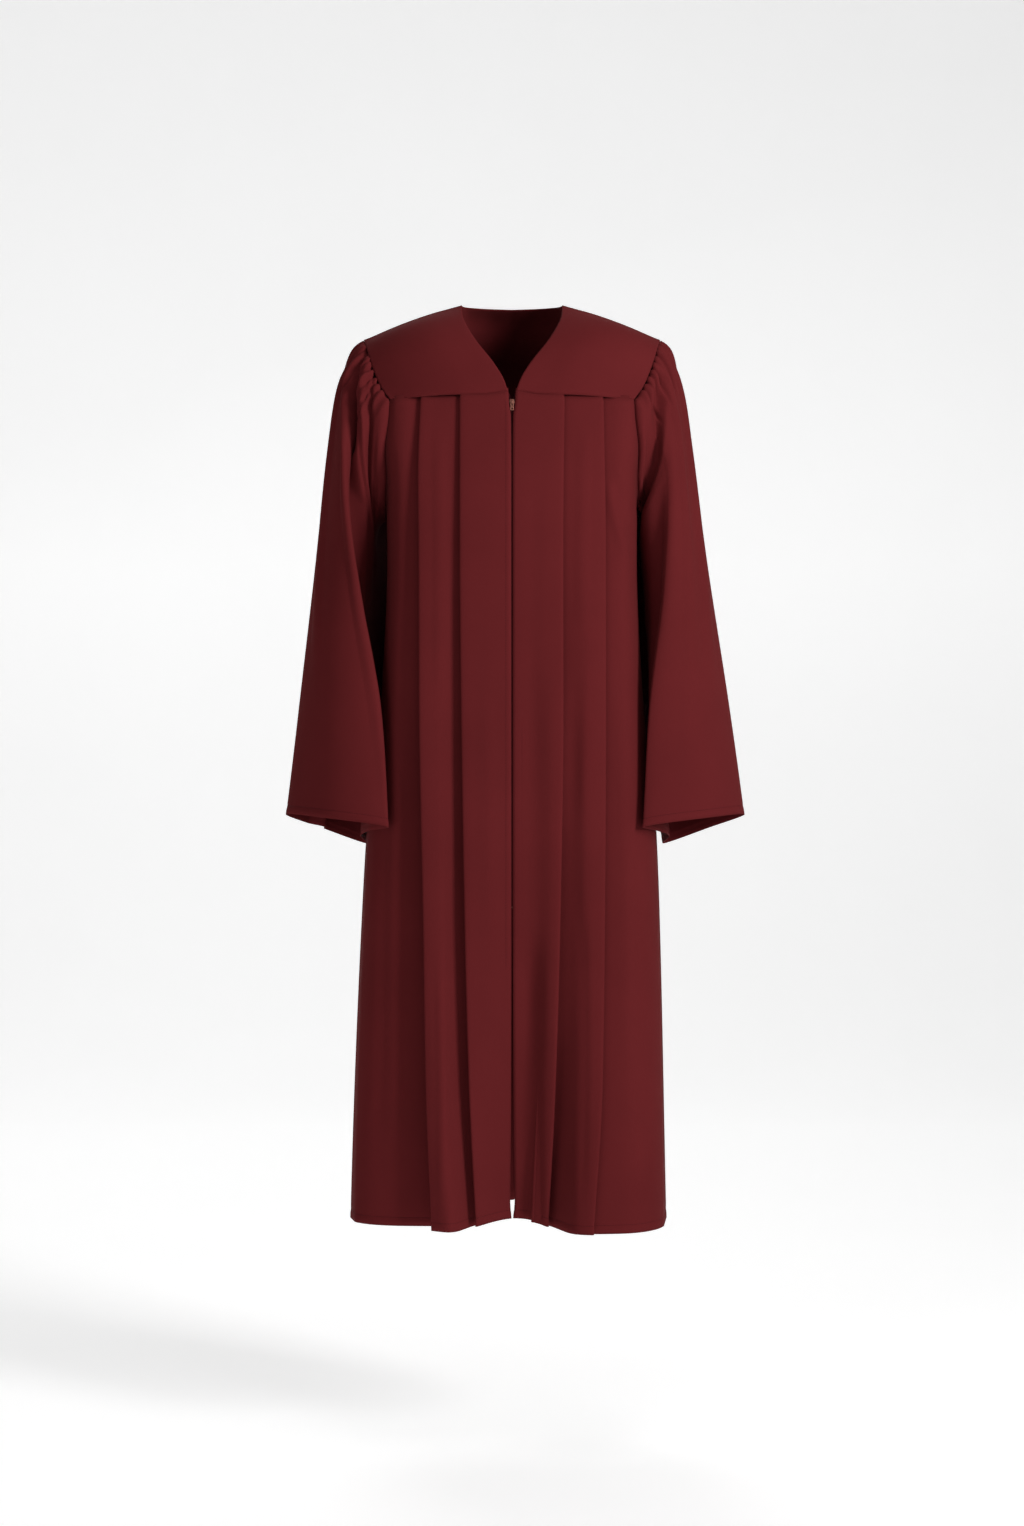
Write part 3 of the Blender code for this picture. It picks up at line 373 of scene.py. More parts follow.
# Deep folds of each sleeve: place round the sleeve, half width and height at five steps down it. The first
# four are a valley from the cap into the gap beside the body, the flap's edge before it, and a ridge and a
# valley behind it. The others are a soft ridge, a wall that swells out beside the body and a narrow valley
DeepFold = namedtuple("DeepFold", "places widths heights")
DEEP_STEPS = (0, 0.1, 0.24, 0.5, 1)
DEEP_FOLDS = {
    RIGHT: [
        DeepFold(
            (0.1, 0.19, 0.31, 0.35, 0.37),
            (0.022, 0.034, 0.058, 0.06, 0.04),
            (-0.004, -0.015, -0.028, -0.022, 0),
        ),
        DeepFold(
            (0.06, 0.125, 0.235, 0.285, 0.32),
            (0.026, 0.04, 0.05, 0.05, 0.05),
            (0.001, 0.005, 0.006, 0.005, 0.001),
        ),
        DeepFold(
            (0.155, 0.265, 0.42, 0.45, 0.46),
            (0.026, 0.034, 0.034, 0.03, 0.03),
            (0.002, 0.006, 0.002, 0, 0),
        ),
        DeepFold(
            (0.215, 0.325, 0.46, 0.48, 0.48),
            (0.018, 0.026, 0.024, 0.026, 0.026),
            (-0.003, -0.008, -0.002, 0, 0),
        ),
    ],
    LEFT: [
        DeepFold(
            (0.16, 0.17, 0.17, 0.17, 0.17),
            (0.026, 0.036, 0.044, 0.044, 0.04),
            (0.001, 0.004, 0.004, 0.002, 0),
        ),
        DeepFold(
            (0.38, 0.38, 0.38, 0.39, 0.38),
            (0.04, 0.05, 0.075, 0.08, 0.06),
            (0, 0.004, 0.013, 0.014, 0.004),
        ),
        DeepFold(
            (0.45, 0.45, 0.45, 0.45, 0.45),
            (0.03, 0.04, 0.06, 0.064, 0.05),
            (0, 0.002, 0.006, 0.007, 0.002),
        ),
        DeepFold(
            (0.32, 0.33, 0.335, 0.345, 0.35),
            (0.02, 0.02, 0.022, 0.026, 0.024),
            (0, 0, 0, -0.007, 0),
        ),
    ],
}
# Folds of each sleeve that run aslant from the cap to the underarm, in x and z on its front
SLEEVE_CREASES = {
    RIGHT: [],
    LEFT: [
        (0.187, -0.048, 0.139, -0.318, 0.0095, -0.01, -0.012),
        (0.18, -0.09, 0.156, -0.23, 0.008, -0.003, -0.004),
    ],
}
FRONT_OF_SLEEVE = 0.52

# Short creases below the cap seam, finer than the solids' gathers: place round the sleeve at the cap and at
# the hem, where along it each ends, half width and height. They begin above the seam.
FADE_IN = 0.10
CAP_CREASES = [
    Fold(cap, low, -FADE_IN, end, width, height)
    for cap, low, end, width, height in (
        (0.01, 0.012, 0.06, 0.01, -0.0024),
        (0.045, 0.055, 0.1, 0.011, -0.0032),
        (0.085, 0.1, 0.07, 0.009, -0.0026),
        (0.12, 0.14, 0.13, 0.011, -0.0036),
        (0.155, 0.185, 0.08, 0.009, -0.003),
        (0.185, 0.22, 0.14, 0.011, -0.0038),
        (0.215, 0.26, 0.08, 0.009, -0.003),
        (0.245, 0.3, 0.15, 0.011, -0.0036),
        (0.275, 0.32, 0.09, 0.009, -0.003),
        (0.305, 0.35, 0.07, 0.01, -0.0024),
        (0.7, 0.69, 0.08, 0.01, -0.0026),
        (0.735, 0.725, 0.13, 0.011, -0.0036),
        (0.77, 0.765, 0.08, 0.009, -0.003),
        (0.805, 0.8, 0.14, 0.011, -0.0036),
        (0.845, 0.84, 0.09, 0.009, -0.003),
        (0.88, 0.88, 0.11, 0.011, -0.0034),
        (0.92, 0.918, 0.07, 0.01, -0.0026),
        (0.96, 0.958, 0.09, 0.01, -0.0026),
    )
]

# Creases of the body, in the front's or back's own x and z
FRONT_CREASES = {
    LEFT: [
        (0.117, -0.205, 0.146, -0.318, 0.007, 0.0022, 0.004),
        (0.128, -0.2, 0.152, -0.29, 0.008, -0.0018, 0.003),
        (0.09, -0.12, 0.086, -0.42, 0.012, 0.001, 0.002),
        (0.03, -0.15, 0.026, -0.62, 0.014, -0.0008, 0.003),
        (0.076, -0.56, 0.07, -1.1, 0.014, 0.0022, 0.004),
        (0.085, -0.7, 0.084, -1.13, 0.01, -0.0018, -0.003),
        (0.13, -0.42, 0.14, -1, 0.016, 0.0016, -0.004),
        (0.155, -0.6, 0.162, -1.12, 0.014, -0.002, 0.003),
        (0.026, -0.4, 0.026, -0.98, 0.024, -0.004, 0),
        (0.02, -0.735, 0.019, -1.23, 0.024, -0.0075, 0),
        (0.078, -0.4, 0.066, -1.2, 0.014, -0.0026, 0),
    ],
    RIGHT: [
        (0.09, -0.12, 0.088, -0.5, 0.012, 0.0012, 0.002),
        (0.078, -0.64, 0.072, -1.12, 0.012, -0.002, 0.003),
        (0.128, -0.14, 0.134, -0.52, 0.013, -0.0012, 0.003),
        (0.136, -0.5, 0.144, -1.06, 0.014, 0.0022, -0.004),
        (0.158, -0.56, 0.166, -1.1, 0.014, -0.002, 0.003),
        (0.032, -0.42, 0.028, -1.08, 0.014, 0.001, 0.002),
        (0.088, -0.78, 0.086, -1.13, 0.009, 0.0016, 0.002),
    ],
}
BACK_CREASES = [
    (-0.135, -0.18, -0.15, -0.56, 0.014, 0.002, 0.004),
    (0.13, -0.17, 0.15, -0.48, 0.014, 0.0022, -0.004),
    (-0.16, -0.6, -0.17, -1.12, 0.014, -0.0024, 0.003),
    (0.16, -0.52, 0.172, -1.12, 0.014, -0.0024, -0.003),
    (-0.06, -0.64, -0.066, -1.12, 0.014, 0.0018, 0.003),
    (0.045, -0.56, 0.05, -1.12, 0.014, -0.002, 0.003),
]


# The geometry of the cut


def curve_through(points, steps):
    """A smooth curve through these points, with the given number of steps in each span."""
    points = np.array(points, float)
    before = 2 * points[0] - points[1]
    after = 2 * points[-1] - points[-2]
    line = np.vstack([before, points, after])
    knots = np.concatenate([[0], np.cumsum(np.sqrt(np.linalg.norm(np.diff(line, axis=0), axis=1)))])
    made = []
    for i, count in enumerate(steps):
        p0, p1, p2, p3 = line[i : i + 4]
        t0, t1, t2, t3 = knots[i : i + 4]
        t = np.linspace(t1, t2, count, endpoint=False)[:, None]
        a1 = ((t1 - t) * p0 + (t - t0) * p1) / (t1 - t0)
        a2 = ((t2 - t) * p1 + (t - t1) * p2) / (t2 - t1)
        a3 = ((t3 - t) * p2 + (t - t2) * p3) / (t3 - t2)
        b1 = ((t2 - t) * a1 + (t - t0) * a2) / (t2 - t0)
        b2 = ((t3 - t) * a2 + (t - t1) * a3) / (t3 - t1)
        made.append(((t2 - t) * b1 + (t - t1) * b2) / (t2 - t1))
    made.append(points[-1:])
    return np.vstack(made)


def even_points(points, places):
    """Points at the given shares of a line's length."""
    points = np.array(points, float)
    run = np.concatenate([[0], np.cumsum(np.linalg.norm(np.diff(points, axis=0), axis=1))])
    return np.column_stack([np.interp(np.array(places) * run[-1], run, points[:, k]) for k in range(3)])


def bell(distance, width):
    """A smooth bump of height 1 that has died out at this width."""
    share = np.clip(np.abs(distance) / width, 0, 1)
    return (1 - share**2) ** 2


def ease(value, low, high):
    """0 up to low, 1 from high, and smooth between."""
    t = np.clip((value - low) / (high - low), 0, 1)
    return t * t * (3 - 2 * t)


def front_seam_level(x):
    """Height of the front yoke seam, which dips a little at the arm and rises at the zip."""
    rise = SEAM_RISE_CENTRE * bell(x, SEAM_RISE_REACH)
    return YOKE_FRONT_LEVEL + rise - SEAM_DROP_ARM * ease(x, SEAM_DROP_FROM, SEAM_DROP_TO)


def real_height(level, x):
    """Height of a front point: rows follow the yoke seam at the top and the raised centre of the hem below."""
    top = ease(level, YOKE_FRONT_LEVEL - SEAM_LEVELS_OUT_BY, YOKE_FRONT_LEVEL)
    low = ease(-level, CENTRE_RISE_FROM, -HEM_LEVEL)
    rise = CENTRE_HEM_RISE * bell(x, CENTRE_RISE_REACH)
    return level + top * (front_seam_level(x) - YOKE_FRONT_LEVEL) + low * rise


def pleat_points(x, y, under, tuck):
    """Points round a knife pleat: the fold edge, the way back under the panel, the inner fold and out again."""
    r = FOLD_RADIUS
    return [
        (x - r, y),
        (x, y + r),
        (x - r, y + 2 * r),
        (x - tuck + r, y + under - 2 * r),
        (x - tuck, y + under - r),
        (x - tuck + r, y + under),
    ]


def side_of(level, hand):
    """Half width of the body on one side: the hem leans a little to the wearer's right."""
    return BODY.at("side", level) - hand * SIDE_LEAN * ease(-level, LEAN_FROM, -HEM_LEVEL)


def turn_at(y, depth):
    """The angle round the squared oval at which it reaches this y."""
    return math.acos(min(max((y - SIDE_SEAM_Y) / depth, 0), 1) ** (1 / SQUARENESS))


def round_to_side(start, side, end_y, turns):
    """Points on the squared quarter oval from a start point round to the side, ended at a depth."""
    depth = start[1] - SIDE_SEAM_Y
    last = turn_at(end_y, depth)
    return [
        (
            start[0] + (side - start[0]) * math.sin(last * t) ** SQUARENESS,
            SIDE_SEAM_Y + depth * math.cos(last * t) ** SQUARENESS,
        )
        for t in turns
    ]


# Steps in each span of a front section, from the centre edge to the side
FRONT_STEPS = (7, 8, 3, 3, 8, 3, 3, 4, 9, 10, 3, 3, 8, 3, 3, 4, 5, 6, 7)


def front_section(level, hand, steps=FRONT_STEPS):
    """Plan of a front panel at a level: x and y from the centre edge through both pleats to its outer edge."""
    inner = PLEATS[hand, "inner"]
    outer = PLEATS[hand, "outer"]
    centre = (FRONT_GAP.at("half", level), BODY.at("centre", level))
    one = [inner.at(name, level) for name in ("x", "y", "under", "tuck")]
    two = [outer.at(name, level) for name in ("x", "y", "under", "tuck")]
    middle = ((centre[0] + one[0]) / 2, (centre[1] + one[1]) / 2 - CENTRE_SWELL)
    first = pleat_points(*one)
    leaving = (one[0] + PLEAT_LEAVE, one[1] + one[2])
    between = (
        leaving[0] + (two[0] - leaving[0]) * BETWEEN_PLEATS,
        leaving[1] + (two[1] - leaving[1]) * BETWEEN_PLEATS - inner.at("bow", level),
    )
    second = pleat_points(*two)
    start = (two[0] + PLEAT_LEAVE, two[1] + two[2])
    end_y = ARMHOLE.at("front", level) if level > UNDERARM_LEVEL else SIDE_SEAM_Y
    turns = (0, 0.25, 0.5, 0.75, 1)
    round_side = round_to_side(start, side_of(level, hand), end_y - SEAM_GAP / 2, turns)
    return curve_through([centre, middle, *first, leaving, between, *second, *round_side], steps)


def front_edge(level):
    """Where the outer edge of a front lies: on the armhole, or below it on the side seam."""
    x, y = front_section(level, LEFT)[-1]
    return np.array([x, y, level])


def back_edge(level):
    """Where the outer edge of the back lies."""
    x, y, _ = back_point(level, 1.0)
    return np.array([x, y, level])


def back_point(level, share):
    """A point of the smooth back, from the wearer's right edge at -1 to the left edge at 1, with no gathers."""
    hand = RIGHT if share < 0 else LEFT
    side = side_of(level, hand)
    depth = BODY.at("back", level) - SIDE_SEAM_Y
    end_y = ARMHOLE.at("back", level) if level > UNDERARM_LEVEL else SIDE_SEAM_Y
    last = turn_at(end_y + SEAM_GAP / 2, depth)
    gathered = math.asin(GATHERED_WIDTH ** (1 / SQUARENESS))
    across = abs(share)
    if across < GATHERED_SHARE:
        x = side * GATHERED_WIDTH * across / GATHERED_SHARE
        turn = math.asin((x / side) ** (1 / SQUARENESS))
    else:
        turn = gathered + (last - gathered) * (across - GATHERED_SHARE) / (1 - GATHERED_SHARE)
        x = side * math.sin(turn) ** SQUARENESS
    return hand * x, SIDE_SEAM_Y + depth * math.cos(turn) ** SQUARENESS, level


def ripple(share, waves):
    """A slow sum of sines, for what is uneven: each wave is its height, its count across and its start."""
    return sum(height * np.sin(2 * np.pi * count * share + start) for height, count, start in waves)


# How the gathers wander sideways and how their height varies
GATHER_WANDER = ((0.010, 2.3, 0.7), (0.006, 4.1, 0.0))
GATHER_UNEVEN = ((0.28, 1.7, 1.1), (0.15, 3.9, 0.0))
SHARP_CREST = 0.2


def gather_wave(share, count):
    """A row of rounded gathers, uneven in width and depth, from 0 to 1 across."""
    turn = 2 * np.pi * count * (share + ripple(share, GATHER_WANDER))
    wave = (np.cos(turn) + SHARP_CREST * np.cos(2 * turn)) / (1 + SHARP_CREST)
    return (1 + ripple(share, GATHER_UNEVEN)) * wave


def normals_of(grid, closed):
    """Unit normals of a grid of points, rows down and columns across."""
    if closed:
        across = np.roll(grid, -1, axis=1) - np.roll(grid, 1, axis=1)
    else:
        across = np.gradient(grid, axis=1)
    down = np.gradient(grid, axis=0)
    normal = np.cross(down, across)
    return normal / np.linalg.norm(normal, axis=2, keepdims=True)


def outward_normals(grid, closed=False, back=False):
    """Normals of a piece that point out of the robe."""
    normal = normals_of(grid, closed)
    if closed:
        middle = grid.mean(axis=1, keepdims=True)
        return normal * np.sign(((grid - middle) * normal).sum(axis=2).mean())
    return normal * (np.sign(normal[:, :, 1].sum()) if back else -np.sign(normal[:, :8, 1].sum()))


def levels_from(high):
    """Row levels from high down to the hem, a row step apart, with close rows at the hem's stitched line."""
    rows = np.linspace(high, HEM_LEVEL, int(round((high - HEM_LEVEL) / ROW_STEP)) + 1)
    rows = [v for v in rows if abs(v - STITCHED_HEM) > ROW_STEP * ROW_CLEAR or v in (high, HEM_LEVEL)]
    return sorted([*rows, STITCHED_HEM + ROW_PAIR, STITCHED_HEM, STITCHED_HEM - ROW_PAIR], reverse=True)


def crease_relief(grid, creases):
    """Height of the creases at every point of a grid, by their lines in x and z."""
    x = grid[:, :, 0]
    z = grid[:, :, 2]
    relief = np.zeros(x.shape)
    for c in (Crease(*row) for row in creases):
        start = np.array([c.x0, c.z0])
        run = np.array([c.x1, c.z1]) - start
        length = np.linalg.norm(run)
        run = run / length
        along = ((x - c.x0) * run[0] + (z - c.z0) * run[1]) / length
        line = np.clip(along, 0, 1)
        off = (x - c.x0) * run[1] - (z - c.z0) * run[0] - c.bow * np.sin(np.pi * line)
        ends = ease(along, 0.0, CREASE_DEEP_BY) * (1 - ease(along, CREASE_FADES_FROM, 1.0))
        relief += c.height * ends * bell(off, c.width)
    return relief


def hem_relief(distance):
    """The turned hem: a slightly thicker band under a stitched line that draws the cloth in."""
    band = HEM_SWELL * (1 - ease(distance, HEM_DEPTH - HEM_EDGE, HEM_DEPTH + HEM_EDGE))
    return band - HEM_DRAW * bell(distance - HEM_DEPTH, HEM_DRAW_REACH)


def front_grid(hand):
    """The fine front panel, in place."""
    levels = levels_from(YOKE_FRONT_LEVEL)
    grid = []
    for level in levels:
        section = front_section(level, hand)
        z = real_height(level, section[:, 0])
        if level == levels[0]:
            z = z - SEAM_GAP / 2
        grid.append(np.column_stack([section, z]))
    grid = np.array(grid)
    normal = outward_normals(grid)
    down = YOKE_FRONT_LEVEL - np.array(levels)[:, None]
    up = np.array(levels)[:, None] - HEM_LEVEL
    relief = crease_relief(grid, FRONT_CREASES[hand]) * outer_layers(grid)
    relief = relief + hem_relief(up)
    relief = relief - SEAM_DIP * (1 - ease(down, 0, SEAM_DIP_REACH))
    if hand == RIGHT:
        below = -grid[:, :, 2]
        drawn = bell(grid[:, :, 0] - PLACKET_X, PLACKET_DRAW_REACH)
        drawn = drawn * ease(below, -PLACKET_FROM, -PLACKET_FROM + PLACKET_STARTS_IN)
        relief = relief - PLACKET_DRAW * drawn * (1 - ease(below, -PLACKET_TO - PLACKET_ENDS_IN, -PLACKET_TO))
    grid = grid + normal * relief[:, :, None]
    grid[:, :, 0] *= hand
    return grid, levels


def outer_layers(grid):
    """1 on the layers of a front that face out, 0 in the pleats' folded-under layers, smooth between."""
    shown = (np.gradient(grid[:, :, 0], axis=1) > 0).astype(float)
    kernel = np.ones(5) / 5
    return np.array([np.convolve(np.pad(row, 2, mode="edge"), kernel, mode="valid") for row in shown])


BACK_COLUMNS = 176
# Small puckers just below the back yoke, much finer than the gathers
PUCKERS = 41
PUCKER_HEIGHT = 0.0008
PUCKER_REACH = 0.022
PUCKER_SHIFT = 0.97
# Depths at which the gathers open out below the yoke and again towards the hem, and where they die out
# beside the side seams
GATHERS_OPEN = (0.125, 0.30)
GATHERS_FALL = (0.4, 1.1)
GATHERS_END = 0.14


def back_grid():
    """The fine gathered back, in place."""
    levels = levels_from(YOKE_BACK_LEVEL - SEAM_GAP)
    shares = np.linspace(-1, 1, BACK_COLUMNS + 1)
    base = np.array([[back_point(level, s) for s in shares] for level in levels])
    normal = normals_of(base, False)
    normal *= np.sign(normal[:, :, 1:2])
    down = -np.array(levels)[:, None]
    height = GATHER_AT_YOKE + GATHER_BELOW * ease(down, *GATHERS_OPEN)
    height = height + GATHER_AT_HEM * ease(down, *GATHERS_FALL)
    inside = ease(1 - np.abs(shares), 0.0, GATHERS_END)
    wave = gather_wave((shares + 1) / 2, BACK_GATHERS) * inside
    pucker = gather_wave((shares + 1) / 2 * PUCKER_SHIFT, PUCKERS) * inside
    below = down + YOKE_BACK_LEVEL
    relief = height * wave + PUCKER_HEIGHT * pucker * (1 - ease(below, 0, PUCKER_REACH))
    relief = relief + crease_relief(base, BACK_CREASES)
    relief = relief + hem_relief(np.array(levels)[:, None] - HEM_LEVEL)
    relief = relief - SEAM_DIP * (1 - ease(below, 0, SEAM_DIP_REACH))
    return base + normal * relief[:, :, None], levels


def patch(top, bottom, first, last, bulge, towards, rows, columns):
    """A Coons patch between four edges, pushed out in the middle."""
    down = np.linspace(0, 1, rows)
    over = np.linspace(0, 1, columns)
    top = even_points(top, over)
    bottom = even_points(bottom, over)
    first = even_points(first, down)
    last = even_points(last, down)
    u = over[None, :, None]
    v = down[:, None, None]
    ruled = (1 - v) * top[None] + v * bottom[None] + (1 - u) * first[:, None] + u * last[:, None]
    corners = (1 - v) * ((1 - u) * top[0] + u * top[-1]) + v * ((1 - u) * bottom[0] + u * bottom[-1])
    return ruled - corners + 16 * u * (1 - u) * v * (1 - v) * bulge * np.array(towards)


def arm_edge_front():
    """The front armhole edge of the yoke, from the shoulder down to the yoke seam."""
    corner = front_edge(YOKE_FRONT_LEVEL)
    corner[2] = front_seam_level(corner[0])
    return curve_through([*ARM_EDGE_FRONT, corner], [8] * 4)


def arm_edge_back():
    """The back armhole edge of the yoke, from the shoulder down to the yoke seam."""
    return curve_through([*ARM_EDGE_BACK, back_edge(YOKE_BACK_LEVEL)], [8] * 4)


def front_yoke_seam():
    """The front yoke's lower edge, over the top layer of both pleats, from the centre to the armhole."""
    end = front_edge(YOKE_FRONT_LEVEL)
    line = curve_through([*YOKE_SEAM_POINTS, (end[0], end[1], 0)], [8] * 4)
    line[:, 2] = [front_seam_level(x) + SEAM_GAP / 2 for x in line[:, 0]]
    return line


YOKE_ROWS = 46


def dipped(grid, back):
    """A yoke drawn in along its lower edge by the seam."""
    to_edge = 1 - np.arange(YOKE_ROWS)[:, None, None] / (YOKE_ROWS - 1)
    return grid - outward_normals(grid, back=back) * SEAM_DIP * (1 - ease(to_edge, 0, SEAM_DIP_SHARE))


def front_yoke_grid(hand, columns=70):
    low = front_yoke_seam()
    neck = curve_through([*NECK_EDGE[:-1], low[0]], [6] * 5)
    arm = np.vstack([arm_edge_front()[:-1], low[-1]])
    top = curve_through(SHOULDER_EDGE, [8] * 3)
    grid = patch(top, low, neck, arm, FRONT_YOKE_BULGE, (0.0, -0.6, 0.8), YOKE_ROWS, columns)
    grid[0, :, 1] -= SEAM_GAP / 2
    return dipped(grid, False) * np.array([hand, 1, 1])


def back_yoke_grid(columns=130):
    mirror = np.array([-1, 1, 1])
    shoulder = curve_through(SHOULDER_EDGE, [8] * 3)[::-1]
    neck = curve_through(BACK_NECK_EDGE, [6] * 3)
    half = np.vstack([shoulder, neck[1:]])
    top = np.vstack([half, (half[::-1] * mirror)[1:]])
    arm = arm_edge_back()
    low = np.array([back_point(YOKE_BACK_LEVEL, s) for s in np.linspace(1, -1, 61)])
    grid = patch(top, low, arm, arm * mirror, BACK_YOKE_BULGE, (0.0, 0.6, 0.8), YOKE_ROWS, columns)
    grid[0, :, 1] += SEAM_GAP / 2
    return dipped(grid, True)


def armhole_ring():
    """The armhole as two lines, front and back, each from the shoulder to the underarm."""
    front_down = np.linspace(YOKE_FRONT_LEVEL, UNDERARM_LEVEL, 24)[1:]
    back_down = np.linspace(YOKE_BACK_LEVEL, UNDERARM_LEVEL, 24)[1:]
    front = np.vstack([arm_edge_front(), [front_edge(v) for v in front_down]])
    back = np.vstack([arm_edge_back(), [back_edge(v) for v in back_down]])
    return front, back


def armhole_point(places):
    """Points of the armhole for places round the sleeve: shoulder, front, underarm and back up."""
    front, back = armhole_ring()
    front_share = np.interp(places, [0, 0.30, INNER_PLACE], [0, 0.36, 1.0])
    back_share = np.interp(places, [INNER_PLACE, 0.66, 1.0], [1.0, 0.42, 0])
    return np.where(
        (np.array(places) <= INNER_PLACE)[:, None],
        even_points(front, front_share),
        even_points(back, back_share),
    )


def ring_through(points, places):
    """A smooth closed curve through points at SLEEVE_PLACES, read at other places round it."""
    knots = np.array(SLEEVE_PLACES)
    knots = np.concatenate([knots - 1, knots, knots + 1])
    ring = np.tile(np.array(points, float), (3, 1))
    i = np.searchsorted(knots, places, side="right") - 1
    gap = (knots[i + 1] - knots[i])[:, None]
    t = (places - knots[i])[:, None] / gap
    leave = (ring[i + 1] - ring[i - 1]) / (knots[i + 1] - knots[i - 1])[:, None] * gap
    arrive = (ring[i + 2] - ring[i]) / (knots[i + 2] - knots[i])[:, None] * gap
    return cubic(ring[i], leave, ring[i + 1], arrive, t)


def seam_direction(places):
    """Which way the sleeve leaves the armhole: out from the body, down, and a little away from its middle."""
    turn = np.radians(np.interp(places, [0, 0.30, INNER_PLACE, 0.66, 1.0], [90, 190, 270, 350, 450]))
    out = np.full(len(turn), LEAVE_OUT)
    down = -LEAVE_DOWN - LEAVE_DOWN_MORE * np.sin(turn)
    direction = np.column_stack([out, LEAVE_AWAY * np.cos(turn), down])
    return direction / np.linalg.norm(direction, axis=1, keepdims=True)


def fold_relief(folds, places, steps, fade_out):
    """Height of folds out of the sleeve, on a grid of steps down it and places round it."""
    steps = np.array(steps)[:, None]
    places = np.array(places)[None, :]
    relief = np.zeros((steps.size, places.size))
    for fold in folds:
        place = fold.cap + (fold.low - fold.cap) * ease(steps, 0.0, 1.0)
        begins = ease(steps, fold.begin, fold.begin + FADE_IN)
        along = begins * (1 - ease(steps, fold.end - fade_out, fold.end))
        away = np.abs((places - place + 0.5) % 1 - 0.5)
        relief += fold.height * along * bell(away, fold.width)
    return relief


def deep_relief(folds, places, steps):
    """Height of the deep folds, whose place, width and height change down the sleeve."""
    relief = np.zeros((len(steps), len(places)))
    for fold in folds:
        place, width, height = [np.interp(steps, DEEP_STEPS, row)[:, None] for row in fold]
        away = np.abs((places[None, :] - place + 0.5) % 1 - 0.5)
        relief += height * bell(away, width)
    return relief


SLEEVE_COLUMNS = 216
SLEEVE_ROWS = 120
SLEEVE_LENGTH = 0.62
FOLD_FADE = 0.30
CAP_CREASE_FADE = 0.05
UNDERARM_REACH = 0.16
SWING_STARTS = (0, 0.12)
SWING_GROWS = (0.2, 1.0)
PINCH_GROWS = (0, 0.03)
PINCH_FADES = (0.03, 0.15)


def sleeve_grid(hand):
    """The fine sleeve: each column runs from the armhole through the sections to the hem."""
    places = np.arange(SLEEVE_COLUMNS) / SLEEVE_COLUMNS
    hem_step = 1 - HEM_DEPTH / SLEEVE_LENGTH
    steps = np.linspace(0, 1, SLEEVE_ROWS)
    steps = sorted({*steps[np.abs(steps - hem_step) > 0.003], hem_step - 0.001, hem_step, hem_step + 0.001})
    leave = seam_direction(places)
    under = bell(places - INNER_PLACE, UNDERARM_REACH)[:, None] * np.array([SLEEVE_START_UNDERARM, 0, 0])
    start = armhole_point(places) + leave * SLEEVE_START + under
    knots = [0.0, *SLEEVE_SECTIONS]
    rings = [start] + [ring_through(ring, places) for ring in SLEEVE_SECTIONS.values()]
    first_reach = np.linalg.norm(rings[1] - rings[0], axis=1, keepdims=True) / knots[1]
    tangents = [leave * first_reach]
    for i in range(1, len(rings) - 1):
        tangents.append((rings[i + 1] - rings[i - 1]) / (knots[i + 1] - knots[i - 1]))
    tangents.append((rings[-1] - rings[-2]) / (knots[-1] - knots[-2]))
    grid = []
    for step in steps:
        i = min(int(np.searchsorted(knots, step, side="right")) - 1, len(knots) - 2)
        gap = knots[i + 1] - knots[i]
        t = (step - knots[i]) / gap
        grid.append(cubic(rings[i], tangents[i] * gap, rings[i + 1], tangents[i + 1] * gap, t))
    grid = np.array(grid)
    along = np.array(steps)
    swing = SWING_ABOVE * ease(along, *SWING_STARTS)
    swing = swing + (SWING_BELOW - SWING_ABOVE) * ease(along, *SWING_GROWS)
    grid[:, :, 0] += hand * swing[:, None]
    normal = outward_normals(grid, closed=True)
    folds = [*SLEEVE_FOLDS, REAR_HEM_FOLD] if hand == RIGHT else SLEEVE_FOLDS
    relief = fold_relief(folds, places, steps, FOLD_FADE)
    relief += fold_relief(CAP_CREASES, places, steps, CAP_CREASE_FADE)
    relief += deep_relief(DEEP_FOLDS[hand], places, steps)
    relief += crease_relief(grid, SLEEVE_CREASES[hand]) * (places < FRONT_OF_SLEEVE)
    down = along[:, None]
    from_top = np.minimum(places, 1 - places)[None, :]
    gathered = 1 - ease(from_top, CAP_SHARE - 0.04, CAP_SHARE + 0.03)
    pinch = ease(down, *PINCH_GROWS) * (1 - ease(down, *PINCH_FADES))
    share = ((places[None, :] + 0.5) % 1 - 0.5 + CAP_SHARE) / (2 * CAP_SHARE)
    relief += CAP_GATHER_HEIGHT * pinch * gathered * gather_wave(share, CAP_GATHERS)
    relief += hem_relief((1 - down) * SLEEVE_LENGTH)
    grid = grid + normal * relief[:, :, None]
    return grid * np.array([hand, 1, 1]), steps.index(hem_step)


def turned_under(grid, normal, edge):
    """The cloth carried on under its neighbour, as a seam's turning, along its top row or its outer column."""
    if edge == "side":
        turned = turned_under(grid[:, ::-1].swapaxes(0, 1), normal[:, ::-1].swapaxes(0, 1), "top")
        return turned.swapaxes(0, 1)[:, ::-1]
    away = grid[0] - grid[1]
    away /= np.linalg.norm(away, axis=1, keepdims=True)
    under = normal[0] * TURNING_DEPTH
    return np.concatenate([[grid[0] + away * TURNING - under, grid[0] + away * CLOTH / 2 - under], grid])


# Meshes


def linked(name, data):
    """A new object in the scene."""
    made = bpy.data.objects.new(name, data)
    bpy.context.scene.collection.objects.link(made)
    return made


def mesh_object(name, vertices, faces, material):
    data = bpy.data.meshes.new(name)
    data.from_pydata([tuple(v) for v in vertices], [], [tuple(f) for f in faces])
    data.validate()
    data.update()
    data.shade_smooth()
    data.materials.append(material)
    return linked(name, data)


